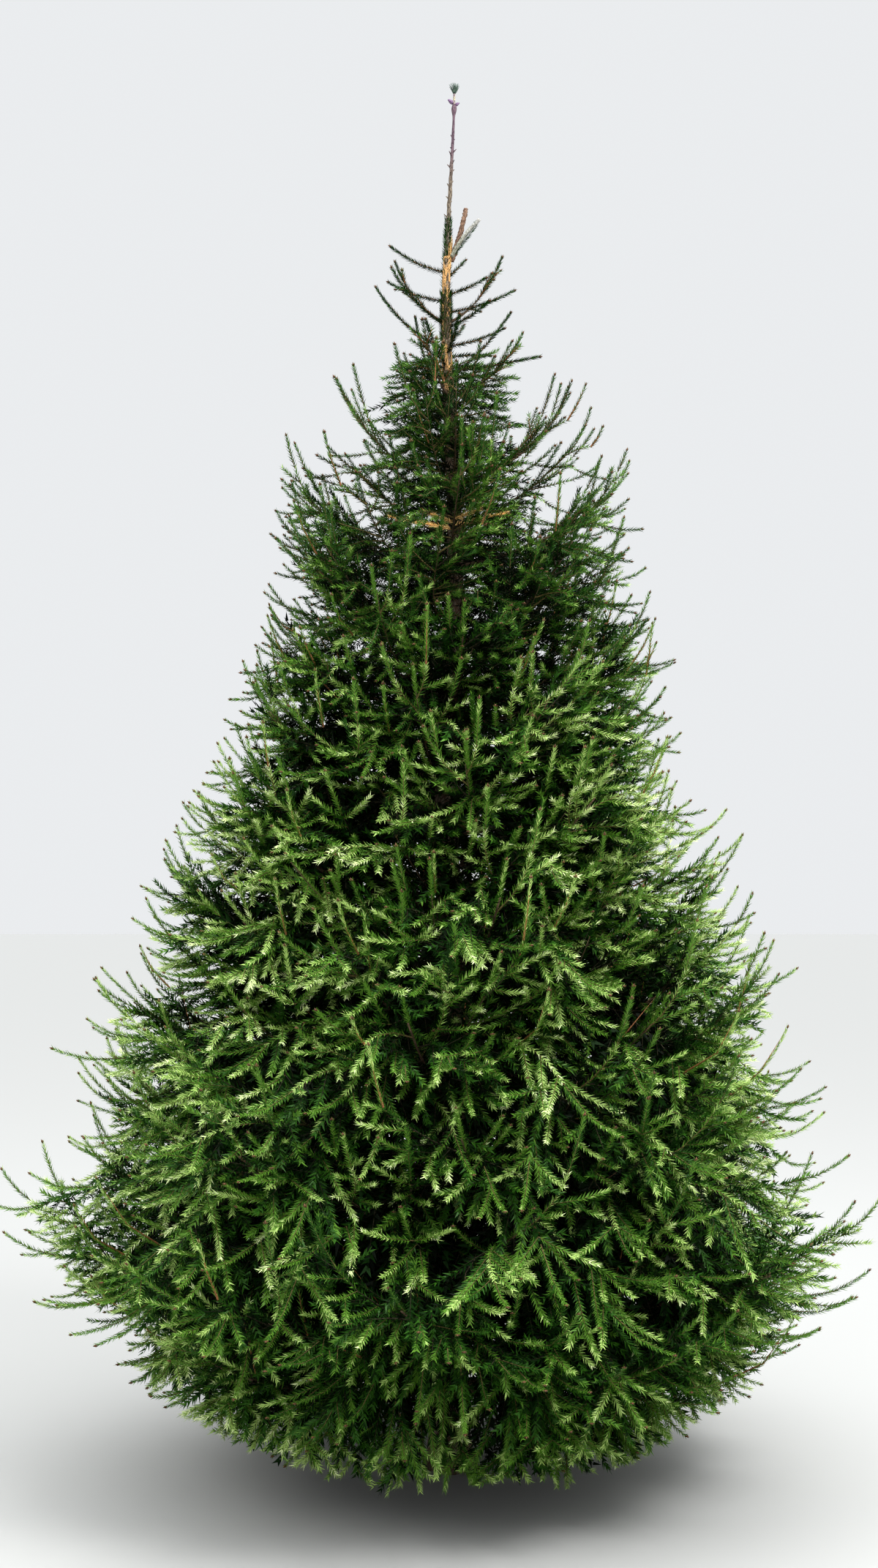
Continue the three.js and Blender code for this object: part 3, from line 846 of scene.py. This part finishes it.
# Single twigs on the top of the trunk: height, azimuth, length, rise at the trunk, and at the tip.
TOP_TWIGS = (
    (3.130, 190, 0.17, 0.15, 0.75),
    (3.115, 20, 0.08, 0.9, 1.2),
    (3.070, -20, 0.12, 0.1, 0.5),
    (3.052, 165, 0.18, 0.2, 0.7),
    (3.022, 5, 0.20, 0.15, 0.6),
    (2.990, 205, 0.22, 0.35, 1.7),
    (2.980, -35, 0.15, 0.1, 0.6),
    (2.950, 70, 0.17, 0.3, 1.0),
    (2.930, 8, 0.17, 0.15, 0.6),
    (2.918, 172, 0.28, 0.5, 1.8),
    (2.905, -75, 0.15, 0.3, 0.9),
    (2.900, 30, 0.14, 0.3, 0.1),
    (2.870, 250, 0.19, 0.2, 0.9),
    (2.860, -8, 0.25, 0.1, 0.15),
    (2.850, 110, 0.19, 0.3, 0.9),
    (2.840, 15, 0.27, 0.8, 1.6),
    (2.700, 178, 0.33, 2.2, 6.0),
)
rows = []
for number, (height, azimuth, length, rise, lift) in enumerate(TOP_TWIGS):
    out = outward(math.radians(azimuth))
    start = out + rise * UP
    end = out + lift * UP
    rows.append((trunk_axis(height), start, end, length, TOP_KEYS + number, TOPMOST, 2, 0.1, -0.5))
top_twigs = Twigs.of(rows)

# A dead sprig, its needles straw-yellow, lies across the trunk's front on a bough that points forward.
DEAD_LEVEL = 9
DEAD_TWIGS = ((-1, 0.17), (1, 0.14), (-0.8, 0.09), (0.9, 0.08))  # how far to the side, and length
upper_boughs = [line for line in whorl_boughs if line.level == DEAD_LEVEL]
front_bough = min(upper_boughs, key=lambda line: line.at(1.0)[1])
rows = []
for number, (way, length) in enumerate(DEAD_TWIGS):
    start = np.array([way, -0.2 * number, 0.2])
    root = front_bough.at(0.48 + 0.03 * number)
    rows.append((root, start, start, length, DEAD_KEYS + number, TOPMOST, 2, 0.1, STRAW))
dead_sprig = Twigs.of(rows)
on_boughs = [branches, fingers, second, ends, on_stems, on_fingers, third]
twigs = Twigs.join(*on_boughs, on_trunk, beside_trunk, top_twigs, dead_sprig)

SHOOT_WIDTH = 0.024  # over its needles
PATCH = 0.06  # side of the squares of the crown's face in which the layers are counted
MIDST = 0.6  # the place on a twig that stands for the whole of it
THIN_LEVELS = (7, 8, 9, 11, 12)
THIN = (1, 0.7, 0.35, 0.25, 0)


def layers_outside(lot):
    """How many layers of shoots hide each twig from a level view of its own side of the tree."""
    middle = lot.at(MIDST)
    row = np.floor(middle[:, 2] / PATCH)
    columns = np.maximum(np.round(math.tau * crown_edge((row + 0.5) * PATCH) / PATCH), 6)
    column = np.floor((np.arctan2(middle[:, 1], middle[:, 0]) / math.tau + 0.5) * columns)
    patch = row * 1000 + column
    inward = np.lexsort((-np.hypot(middle[:, 0], middle[:, 1]), patch))
    passed = np.cumsum(lot.length[inward]) - lot.length[inward]
    first = np.searchsorted(patch[inward], patch[inward])
    layers = np.empty(len(patch))
    layers[inward] = (passed - passed[first]) * SHOOT_WIDTH / PATCH**2
    # The thin crown near the top hides nothing of itself.
    return layers * np.interp(lot.level, THIN_LEVELS, THIN)


# Shade kills the smallest first.
KILLING_SHADE = 1.3
NEAR_SHADE = 1.4
YOUNG_SHADE = 1
twig_layers = layers_outside(twigs)
twigs = twigs.pick((twigs.order != SMALLEST) | (twig_layers < KILLING_SHADE))
twig_layers = layers_outside(twigs)


def mottled(name, roughness, gloss, fineness, dark, light, soft=0.15, along=1, relief=0):
    """A finish of two tones in a fine mottle, drawn out along the stem where along is below 1."""
    made, tree, shader = material(name, roughness, gloss)
    mottle = noise_of(tree, drawn_out(tree, where(tree), along), fineness).ramp(0.5 - soft, 0.5 + soft)
    paint(tree, shader, mottle.tint(dark, light))
    if relief:
        emboss(tree, shader, mottle, 0.6, relief)
    return made


# The dark bark on twigs deep in the crown is partly their age and partly painted shade.
twig_barks = [
    mottled("old_twig_bark_painted_shade", 0.8, 0.2, 300, (30, 28, 18), (60, 54, 36)),
    mottled("young_twig_bark", 0.8, 0.2, 300, (70, 62, 34), (108, 92, 54)),
    mottled("brown_twig_bark", 0.8, 0.2, 300, (104, 66, 40), (146, 98, 60)),
]


def from_arrays(name, points, faces, kinds, materials, slot, nodes):
    """Joins many small things into one piece: corners, faces of three, and their materials' numbers."""
    mesh = bpy.data.meshes.new(name)
    mesh.vertices.add(len(points))
    mesh.vertices.foreach_set("co", np.ascontiguousarray(points, np.float32).ravel())
    mesh.loops.add(faces.size)
    mesh.loops.foreach_set("vertex_index", np.ascontiguousarray(faces, np.int32).ravel())
    mesh.polygons.add(len(faces))
    mesh.polygons.foreach_set("loop_start", np.arange(0, faces.size, 3, dtype=np.int32))
    for made in materials:
        mesh.materials.append(made)
    mesh.polygons.foreach_set("material_index", np.ascontiguousarray(kinds, np.int32))
    mesh.update(calc_edges=True)
    seat(name, mesh, nodes)


def slim_tubes(lot, thick, thin, segments):
    """Three-sided twigs that taper to a point, as corner points and faces."""
    n = len(lot.length)
    points = np.empty((n, segments * 3 + 1, 3))
    for i in range(segments):
        u = i / segments
        ahead = lot.heading(u)
        side = level_side(ahead)
        over = np.cross(side, ahead)
        radius = thick + (thin - thick) * u
        for j in range(3):
            a = math.tau * j / 3 + 0.5
            points[:, 3 * i + j] = lot.at(u) + radius * (side * math.cos(a) + over * math.sin(a))
    points[:, -1] = lot.at(1.0)
    faces = []
    for i in range(segments - 1):
        for j in range(3):
            k = (j + 1) % 3
            a, b, c, d = 3 * i + j, 3 * i + k, 3 * i + 3 + j, 3 * i + 3 + k
            faces += [(a, c, b), (b, c, d)]
    last = 3 * (segments - 1)
    for j in range(3):
        faces.append((last + j, segments * 3, last + (j + 1) % 3))
    faces = np.array(faces)[None] + (np.arange(n) * (segments * 3 + 1))[:, None, None]
    return points.reshape(-1, 3), faces.reshape(-1, 3)


TWIG_TIP = 0.0009
BROWN_THICKER = 2.1
foliage = [n for n in nodes if "foliage" in n]
near = twig_layers < NEAR_SHADE
# Each kind with its rows, the number of lengths in a twig's tube, and its radius.
for name, rows, segments, thick in (
    ("side_branches", twigs.order == 1, 3, 0.0026),
    ("shoots", (twigs.order != 1) & (twigs.order != SMALLEST) & near, 2, 0.0014),
    ("small_shoots", (twigs.order == SMALLEST) | (twigs.order != 1) & ~near, 1, 0.0012),
):
    lot = twigs.pick(rows)
    thick = np.where(lot.tone == BROWN, BROWN_THICKER, 1)[:, None] * thick
    points, faces = slim_tubes(lot, thick, TWIG_TIP, segments)
    brown = (lot.tone == BROWN) | (lot.level >= BARE)
    # Twigs hidden by more layers get the dark bark: partly older wood, partly painted shade.
    kinds = np.where(brown, 2, np.where(twig_layers[rows] < YOUNG_SHADE, 1, 0))
    kinds = np.repeat(kinds, len(faces) // len(lot.length))
    from_arrays(name, points, faces, kinds, twig_barks, "bough_bark", foliage)

# Needles
# Stiff pointed needles, up to 18 mm long, on every side of a shoot and pointing forward. They are deep
# green. Deep in the crown they are painted nearly black as painted shade, and the outermost shoots are a
# yellow-green that is partly their fresher growth and partly painted light.

NEEDLE_LENGTH = 0.0165
NEEDLE_WIDTH = 0.0032
# The two darkest tints are painted shade, and the two palest greens are partly painted highlight; the last
# is the straw of dead needles.
TINTS = [
    ((5, 15, 3), 0.05),
    ((13, 38, 6), 0.05),
    ((36, 76, 12), 0.15),
    ((80, 122, 34), 0.2),
    ((156, 186, 98), 0.3),
    ((222, 236, 174), 0.35),
    ((232, 192, 124), 0.2),
]
DEAD = len(TINTS) - 1
RIM = 0.74  # beyond this share of the crown's reach, shoots show against the sky
RIM_TONE = 1.7
RIM_PER_METRE = 270
UPPER_PER_METRE = 320
needle_materials = []
for number, (tint, gloss) in enumerate(TINTS):
    made, tree, shader = material(f"needles_{number}", 0.5, gloss)
    shader.inputs["Base Color"].default_value = colour(*tint)
    needle_materials.append(made)

# A tone is a number of TINTS. The more layers of shoots hide a shoot, the larger and fewer its needles
# are, and the darker their tint, which is painted shade.
HIDDEN_AT = 2.3  # layers
HIDDEN_FADE = 1.7
SHOWN_TONE = 3.4
SHADE_PER_METRE = 180
SHOWN_PER_METRE = 540
DEEP_FEWER = 60
WOODY_SHARE = 0.55  # of the needles of a shoot, on a branch or a stem
SHADE_LARGER = 0.6
DEEP_LARGER = 0.4
SLIM_LARGER = 0.93
RIM_LARGEST = 1.35
UPPER_LARGEST = 1.2
BROWN_LEAN = 30  # degrees between a needle and its shoot
SLIM_LEAN = 42
SHOOT_LEAN = 47
# Needles are painted brighter towards a shoot's tip: partly the younger needles' own colour, partly
# painted highlight, with painted shade at the shoot's foot.
SLIM_FRESH_AND_LIT = 0.9  # how much brighter the needles are towards the shoot's tip
TIP_FRESH_AND_LIT = 2.1
LIVE_TONES = 10  # a tone further from 0 than this is BROWN or STRAW
# Whorl by whorl the tone goes a little up or down. The lower tone of the upper whorls is painted shade,
# since fewer layers are counted there.
TONE_LEVELS = (0, 2, 4, 6, 7, 9, 11, 12)
TONE_CHANGES = (-0.3, -0.2, 0.1, 0, -0.5, -1.3, -1.6, -2.0)
clad = Twigs.join(twigs, stems)
layers = layers_outside(clad)
shown = np.clip((HIDDEN_AT - layers) / HIDDEN_FADE, 0, 1)
deep = np.clip((layers - 2) / 2, 0, 1)
alive = np.abs(clad.tone) < LIVE_TONES
# Painted shade: needles of shoots hidden by more layers get darker tints, and those shown lighter ones.
tone = 0.7 + SHOWN_TONE * shown + np.where(alive, clad.tone, np.where(clad.tone == STRAW, STRAW, 0.5))
tone = np.where(clad.order == 0, tone - 0.8, np.where(clad.order == FINGER_ORDER, tone - 0.6, tone))
tone += np.interp(clad.level, TONE_LEVELS, TONE_CHANGES)
per_metre = SHADE_PER_METRE + SHOWN_PER_METRE * shown - DEEP_FEWER * deep
per_metre -= DEEP_FEWER * np.clip((layers - 5) / 3, 0, 1)
per_metre *= np.where(clad.order < 2, WOODY_SHARE, 1)
middle = clad.at(MIDST)
rim = np.hypot(middle[:, 0], middle[:, 1]) > RIM * crown_edge(middle[:, 2])
# At the rim the needles are painted at least RIM_TONE, with less painted shade than their layers give.
tone = np.where(rim & alive, np.maximum(tone, RIM_TONE), tone)
per_metre = np.where(rim, np.maximum(per_metre, RIM_PER_METRE), per_metre)
per_metre *= np.where(clad.tone == BROWN, 0.8, 1) * np.where(clad.level == TOPMOST, 1.7, 1)
per_metre = np.where(clad.level >= UPPER, np.maximum(per_metre, UPPER_PER_METRE), per_metre)
slim = clad.order == FINGER_ORDER
larger = 1 + SHADE_LARGER - SHADE_LARGER * shown + DEEP_LARGER * deep
larger = np.where(slim | (clad.level == TOPMOST), SLIM_LARGER, 1) * larger
larger = np.where(rim, np.minimum(larger, RIM_LARGEST), larger)
larger = np.where(clad.level >= UPPER, np.minimum(larger, UPPER_LARGEST), larger)
lean = np.where(clad.tone == BROWN, BROWN_LEAN, np.where(slim, SLIM_LEAN, SHOOT_LEAN))
fresh_and_lit = np.where(slim | (clad.level == TOPMOST), SLIM_FRESH_AND_LIT, TIP_FRESH_AND_LIT)

NEEDLE_KEYS = 257
BRANCH_BARE = 0.12  # share of a twig without needles, at its foot
SHOOT_BARE = 0.03
NEEDLE_CLOSES = 0.35  # how much less the needles at a shoot's tip lean out
NEEDLE_SCATTER = 14


def needles(lot, per_metre, tone, larger, lean, fresh_and_lit, girth=0.0006, bare=0.26):
    """Needles round each twig of a lot, fewer below by bare, as corner points, faces and tint numbers."""
    count = np.maximum((lot.length * per_metre).astype(int), 3)
    row, number = dealt_out(count)
    key = lot.key[row] * NEEDLE_KEYS + number
    start = np.where(lot.order[row] == 1, BRANCH_BARE, SHOOT_BARE)
    u = start + (1 - start) * (number + dice(key, 60)) / count[row]
    ahead = lot.heading(u, row)
    side = level_side(ahead)
    over = np.cross(side, ahead)
    round_it = (number * GOLDEN_ANGLE + lot.key[row]) % math.tau - math.pi
    round_it = round_it * (1 - bare * (np.abs(round_it) / math.pi) ** 2) + 0.5 * (dice(key, 61) - 0.5)
    away = over * np.cos(round_it)[:, None] + side * np.sin(round_it)[:, None]
    angle = lean[row] * (1 - NEEDLE_CLOSES * u * u) + NEEDLE_SCATTER * (dice(key, 62) - 0.5)
    angle = np.radians(angle)[:, None]
    point = ahead * np.cos(angle) + away * np.sin(angle)
    length = NEEDLE_LENGTH * larger[row] * (0.82 + 0.3 * dice(key, 63)) * (1 - 0.2 * u**6)
    root = lot.at(u, row) + away * girth
    along = unit(ahead - point * np.cos(angle))
    twist = (1.1 if bare else 3.0) * (dice(key, 64) - 0.5)
    width = along * np.cos(twist)[:, None] + np.cross(point, along) * np.sin(twist)[:, None]
    width *= (NEEDLE_WIDTH / 2 * larger[row] ** 2)[:, None]
    points = np.stack([root - width, root + width, root + point * length[:, None]], 1)
    # The tint rises towards the shoot's tip: partly younger needles, partly painted light.
    kinds = tone[row] + (dice(key, 65) - 0.5) + fresh_and_lit[row] * (u - 0.6)
    kinds = np.where(tone[row] > LIVE_TONES, DEAD, np.clip(kinds.astype(int), 0, DEAD - 1))
    return points.reshape(-1, 3), np.arange(3 * len(row)).reshape(-1, 3), kinds


# One piece for each whorl, and the small whorls at the top together.
for levels in ([0], [1], [2], [3], [4], [5], [6], [7, 8], [9, 10, 11, 12]):
    rows = np.isin(clad.level, levels)
    made = needles(clad.pick(rows), per_metre[rows], tone[rows], larger[rows], lean[rows], fresh_and_lit[rows])
    stands_for = [n for n in foliage if int(n[5:7]) - 1 in levels]
    from_arrays("needles_whorl%02d" % (levels[0] + 1), *made, needle_materials, "needles", stands_for)


STEM_TONE = 1.8


def stem_needles(foot, top, share, key, per_metre, larger, fresh_and_lit, girth, bare=0.26):
    """Needles along a share of the straight way from foot to top."""
    way = top - foot
    stem = Twigs.of([(foot, way, way, share * np.linalg.norm(way), key, TOPMOST, SMALLEST, 0, 0)])
    tone = np.array([STEM_TONE])
    lean = np.array([SLIM_LEAN])
    return needles(stem, [per_metre], tone, np.array([larger]), lean, np.array([fresh_and_lit]), girth, bare)


# Old needles still stand on last year's length of trunk and round the leader's foot.
on_bark = []
for foot, top, girth, crowding in (
    (2.78, 2.95, 0.0145, 1200),
    (2.94, 3.08, 0.0125, 5000),
    (3.08, 3.17, 0.0100, 900),
    (3.16, 3.28, 0.0062, 3000),
):
    foot, top = trunk_axis(np.array(foot)), trunk_axis(np.array(top))
    on_bark.append(stem_needles(foot, top, 1, 1, crowding, 0.9, 0, girth, 0))
points = np.concatenate([part[0] for part in on_bark])
faces = np.arange(len(points)).reshape(-1, 3)
kinds = np.concatenate([part[2] for part in on_bark])
from_arrays("needles_on_trunk", points, faces, kinds, needle_materials, "needles", ["trunk"])

# Buds
# Each long last shoot ends in a cluster of brown, pointed winter buds, a large one and two small ones
# beside it.

BUD_LENGTH = 0.011
BUD_WIDTH = 0.007
SMALL_BUD = 0.65
BUD_SUNK = 0.002
BUD_APART = 0.0015
BUD_SPREAD = 0.6
BUD_WIDEST = 0.4  # the place along it
BUD_SHADE = 0.8  # no buds where more layers of shoots than this hide them
bud_brown = mottled("bud_brown", 0.7, 0.25, 350, (58, 38, 24), (112, 76, 48))

tips = twigs.pick(((twigs.order == FINGER_ORDER) | (twigs.level == TOPMOST)) & (twig_layers < BUD_SHADE))
ahead = tips.heading(1.0)
side = level_side(ahead)
over = np.cross(side, ahead)
points = []
for turn in (0, 1, -1):
    lean = unit(ahead + BUD_SPREAD * turn * side)
    size = SMALL_BUD if turn else 1
    foot = tips.at(1.0) - BUD_SUNK * ahead + BUD_APART * turn * side
    middle = foot + lean * BUD_LENGTH * size * BUD_WIDEST
    corners = [foot]
    for j in range(3):
        angle = math.tau * j / 3
        corners.append(middle + (side * math.cos(angle) + over * math.sin(angle)) * BUD_WIDTH / 2 * size)
    corners.append(foot + lean * BUD_LENGTH * size)
    points.append(np.stack(corners, 1))
points = np.concatenate(points)
lower = [(0, (j + 1) % 3 + 1, j + 1) for j in range(3)]
upper = [(4, j + 1, (j + 1) % 3 + 1) for j in range(3)]
faces = np.array(lower + upper)[None] + (np.arange(len(points)) * 5)[:, None, None]
faces = faces.reshape(-1, 3)
kinds = np.zeros(len(faces))
from_arrays("winter_buds", points.reshape(-1, 3), faces, kinds, [bud_brown], "buds", foliage)

# Top of the tree
# The old leader has snapped off, and a side shoot beside its torn stub has grown up as the new one: a thin
# bare rod with short pegs where needles stood. It ends in two purple buds and a fan of new needles.

LEADER_SUNK = 0.03
YOUNG_WOOD = 0.25  # the scales flatten out over this last length
YOUNG_ROUGH = 0.15
NODE_BELOW = 0.012
NODE_HEIGHT = 0.014
NODE_SWELL = 1.3
TOP_SCALE = 0.0022
TOP_LUMP = 0.0015
PEG_LOW = 3.24
PEG_HIGH = 3.52
PEGS = 26
FAN_WIDTH = 0.029
FAN_NEEDLES = 44
SPLINTERS = 6


def leader_radius(z):
    return float(trunk_radius(np.maximum(z, LEADER_FOOT + 0.001)))


def leader_corner(angle, share):
    z = LEADER_FOOT - LEADER_SUNK + (TRUNK_TOP - LEADER_FOOT + LEADER_SUNK) * share
    axis = trunk_axis(z)
    radius = leader_radius(z)
    rough = min(max((TRUNK_TOP - z) / YOUNG_WOOD, YOUNG_ROUGH), 1)
    radius += rough * TOP_SCALE * bark_relief(math.cos(angle) * radius, math.sin(angle) * radius, z * 0.5)
    radius += rough * TOP_LUMP * max(noise.noise(Vector((angle, 0, z * 60))), 0)
    # A swollen node lies under the buds.
    swell = (z - TRUNK_TOP + NODE_BELOW) / NODE_HEIGHT
    radius *= 1 + NODE_SWELL * math.exp(-swell * swell)
    return (axis[0] + math.sin(angle) * radius, axis[1] - math.cos(angle) * radius, z)


def straight_tube(bm, foot, tip, thick, thin, sides, rings, bend=0.0, rough=0.0):
    """A tapering tube from foot to tip, bowed by bend at its middle."""
    ahead = (tip - foot).normalized()
    side = ahead.orthogonal().normalized()
    over = ahead.cross(side)

    def corner(angle, share):
        centre = foot + (tip - foot) * share + side * bend * math.sin(math.pi * share)
        radius = thick + (thin - thick) * share
        point = centre + (side * math.cos(angle) + over * math.sin(angle)) * radius
        scale = 2 * bark_relief(*(point * 2)) - 0.8
        return point + (point - centre).normalized() * rough * scale

    tube(bm, rings, sides, corner)


def leader_bark(name, low_tones, high_tones, fade_from, fade_to):
    """Thin bark in one pair of tones at the foot and another on the youngest wood above."""
    made, tree, shader = material(name, 0.8, 0.25)
    place = where(tree)
    mottle = noise_of(tree, drawn_out(tree, place, 0.35), 320).ramp(0.38, 0.62)
    age = place.part(2).ramp(fade_from, fade_to)
    paint(tree, shader, age.tint(mottle.tint(*low_tones), mottle.tint(*high_tones)))
    emboss(tree, shader, mottle, 0.5, 0.0006)
    return made


low_tones = ((70, 60, 50), (120, 108, 92))
high_tones = ((60, 44, 54), (100, 78, 88))
leader_wood = leader_bark("leader_bark", low_tones, high_tones, 3.36, 3.5)
leader = bmesh.new()
tube(leader, 90, 14, leader_corner)
for number in range(PEGS):
    z = PEG_LOW + (PEG_HIGH - PEG_LOW) * number / PEGS
    out = Vector(outward(number * GOLDEN_ANGLE))
    foot = Vector(trunk_axis(z)) + out * leader_radius(z) * 0.6
    length = 0.004 + 0.006 * roll(number, 82)
    peg_tip = foot + out * length + Vector((0, 0, length))
    straight_tube(leader, foot, peg_tip, 0.0026, 0.0009, sides=6, rings=4)
finished("leader", leader, leader_wood, ["trunk"])

torn_wood = mottled("torn_wood", 0.85, 0.2, 420, (140, 96, 52), (206, 164, 106), along=0.15, relief=0.001)
foot = Vector(trunk_axis(LEADER_FOOT))
stub = bmesh.new()
for number in range(SPLINTERS):
    lean = Vector(outward(math.tau * number / SPLINTERS)) * 0.0045 + Vector((0.008, -0.003, 0))
    height = 0.03 + 0.035 * roll(number, 80)
    splinter_foot = foot + lean * 0.3 - Vector((0, 0, 0.06 + 0.02 * roll(number, 83)))
    splinter_tip = foot + lean * 1.25 + Vector((0, 0, height))
    straight_tube(stub, splinter_foot, splinter_tip, 0.0042, 0.0007, sides=6, rings=8, rough=0.0008)
finished("torn_stub", stub, torn_wood, ["trunk"])

low_tones = ((72, 52, 40), (124, 96, 76))
high_tones = ((88, 64, 50), (136, 108, 88))
brown_wood = leader_bark("side_shoot_bark", low_tones, high_tones, 3.2, 3.3)
brown = bmesh.new()
brown_foot = foot + Vector((0.012, 0.004, -0.01))
brown_tip = foot + Vector((0.052, 0.002, 0.135))
straight_tube(brown, brown_foot, brown_tip, 0.0078, 0.0062, sides=14, rings=40, bend=0.004, rough=0.0022)
finished("brown_shoot", brown, brown_wood, ["trunk"])

low_tones = ((104, 104, 88), (150, 150, 136))
high_tones = ((132, 130, 124), (176, 174, 168))
grey_wood = leader_bark("grey_shoot_bark", low_tones, high_tones, 3.2, 3.27)
grey = bmesh.new()
grey_foot = foot + Vector((0.012, -0.002, 0.0))
grey_tip = foot + Vector((0.088, -0.010, 0.100))
straight_tube(grey, grey_foot, grey_tip, 0.0062, 0.0050, sides=12, rings=30, bend=-0.006, rough=0.0012)
finished("grey_shoot", grey, grey_wood, ["trunk"])

# Needles still stand along the upper side of the grey shoot.
start = np.array(foot + Vector((0.016, -0.002, 0.004)))
made = stem_needles(start, np.array(grey_tip), 0.85, 5, 2600, 0.8, 0.4, 0.004)
from_arrays("grey_shoot_needles", *made, needle_materials, "needles", ["trunk"])


def bud(bm, foot, way, length, width):
    """A pointed egg of overlapping scales on its foot, pointing the way given."""
    made = bmesh.ops.create_uvsphere(bm, u_segments=18, v_segments=16, radius=0.5)
    turn = Vector((0, 0, 1)).rotation_difference(Vector(way).normalized()).to_matrix()
    for v in made["verts"]:
        up = v.co.z + 0.5
        taper = (1.3 - 0.75 * up) * (1 + 0.08 * math.cos(26 * up + 5 * math.atan2(v.co.y, v.co.x)))
        v.co = foot + turn @ Vector((v.co.x * width * taper, v.co.y * width * taper, up * length))


bud_scales = mottled("bud_scales", 0.7, 0.3, 300, (70, 48, 78), (132, 104, 136), soft=0.1, along=3)
tip = Vector(trunk_axis(TRUNK_TOP))
buds = bmesh.new()
bud(buds, tip + Vector((-0.002, 0, 0.003)), (-0.85, -0.1, 0.6), 0.019, 0.011)
bud(buds, tip + Vector((0.002, 0, -0.002)), (0.85, 0.1, 0.55), 0.015, 0.009)
finished("leader_buds", buds, bud_scales, ["leader_tuft"])

pale_neck = mottled("pale_neck", 0.7, 0.3, 300, (104, 84, 104), (190, 186, 140), soft=0.1)
neck = bmesh.new()
neck_foot = tip - Vector((0, 0, 0.006))
neck_tip = tip + Vector((0, 0, 0.036))
straight_tube(neck, neck_foot, neck_tip, 0.0034, 0.0030, sides=10, rings=10)
finished("leader_neck", neck, pale_neck, ["leader_tuft"])

young_green = mottled("young_green", 0.5, 0.3, 400, (30, 50, 44), (84, 104, 88), soft=0.1)
fan = bmesh.new()
for number in range(FAN_NEEDLES):
    share = (number + 0.5) / FAN_NEEDLES
    out = Vector(outward(number * GOLDEN_ANGLE))
    needle_foot = tip + Vector((0, 0, 0.030)) + out * 0.002
    top = TREE_HEIGHT - TRUNK_TOP - 0.006 * roll(number, 81) - 0.004 * share
    needle_tip = tip + out * (FAN_WIDTH / 2) * math.sqrt(share) + Vector((0, 0, top))
    straight_tube(fan, needle_foot, needle_tip, 0.0012, 0.0006, sides=4, rings=4, bend=0.0012)
finished("leader_needles", fan, young_green, ["leader_tuft"])

# Floor, light and camera
# A plain pale floor under soft, even light from a bright sky, a little stronger from the right. The camera
# stands 4.65 m in front of the trunk and 1.4 m above the ground, and looks up a little.

CROWN_MIDDLE = Vector((0, 0, 1.2))
CAMERA_PLACE = (0, -4.65, 1.40)
CAMERA_TILT = 4.33  # degrees up from level
CAMERA_TURN = 0.38
FOCAL_LENGTH = 40.6

bpy.ops.mesh.primitive_plane_add(size=300)
floor = bpy.context.object
floor.name = "floor"
made, tree, shader = material("pale_floor", 0.9, 0.1)
shader.inputs["Base Color"].default_value = colour(164, 164, 162)
floor.data.materials.append(made)

# A sky as on a dull day: brightest overhead, paler and even where the camera sees it.
world = bpy.data.worlds.new("studio")
bpy.context.scene.world = world
world.use_nodes = True
tree = world.node_tree
background = tree.nodes["Background"]
background.inputs["Color"].default_value = (0.96, 0.98, 1.0, 1)
overhead = node(tree, "ShaderNodeTexCoord", {}, {}, 0).part(2).ramp(0.5, 0.95)
tree.links.new((0.86 + 2.9 * overhead).socket, background.inputs["Strength"])


def soft_light(name, place, size, power):
    """A square lamp that points at the crown's middle."""
    light = bpy.data.lights.new(name, "AREA")
    light.size = size
    light.energy = power
    lamp = bpy.data.objects.new(name, light)
    bpy.context.scene.collection.objects.link(lamp)
    lamp.location = place
    lamp.rotation_euler = (CROWN_MIDDLE - Vector(place)).to_track_quat("-Z", "Y").to_euler()


soft_light("key", (3.5, -4.0, 7.0), 2.6, 660)
soft_light("fill", (-5.0, -3.5, 5.0), 3.5, 160)

camera = bpy.data.objects.new("camera", bpy.data.cameras.new("camera"))
bpy.context.scene.collection.objects.link(camera)
camera.data.sensor_fit = "VERTICAL"
camera.data.sensor_height = 36
camera.data.lens = FOCAL_LENGTH
camera.location = CAMERA_PLACE
camera.rotation_euler = (math.radians(90 + CAMERA_TILT), 0, math.radians(CAMERA_TURN))
bpy.context.scene.camera = camera
bpy.context.scene.view_settings.view_transform = "Standard"
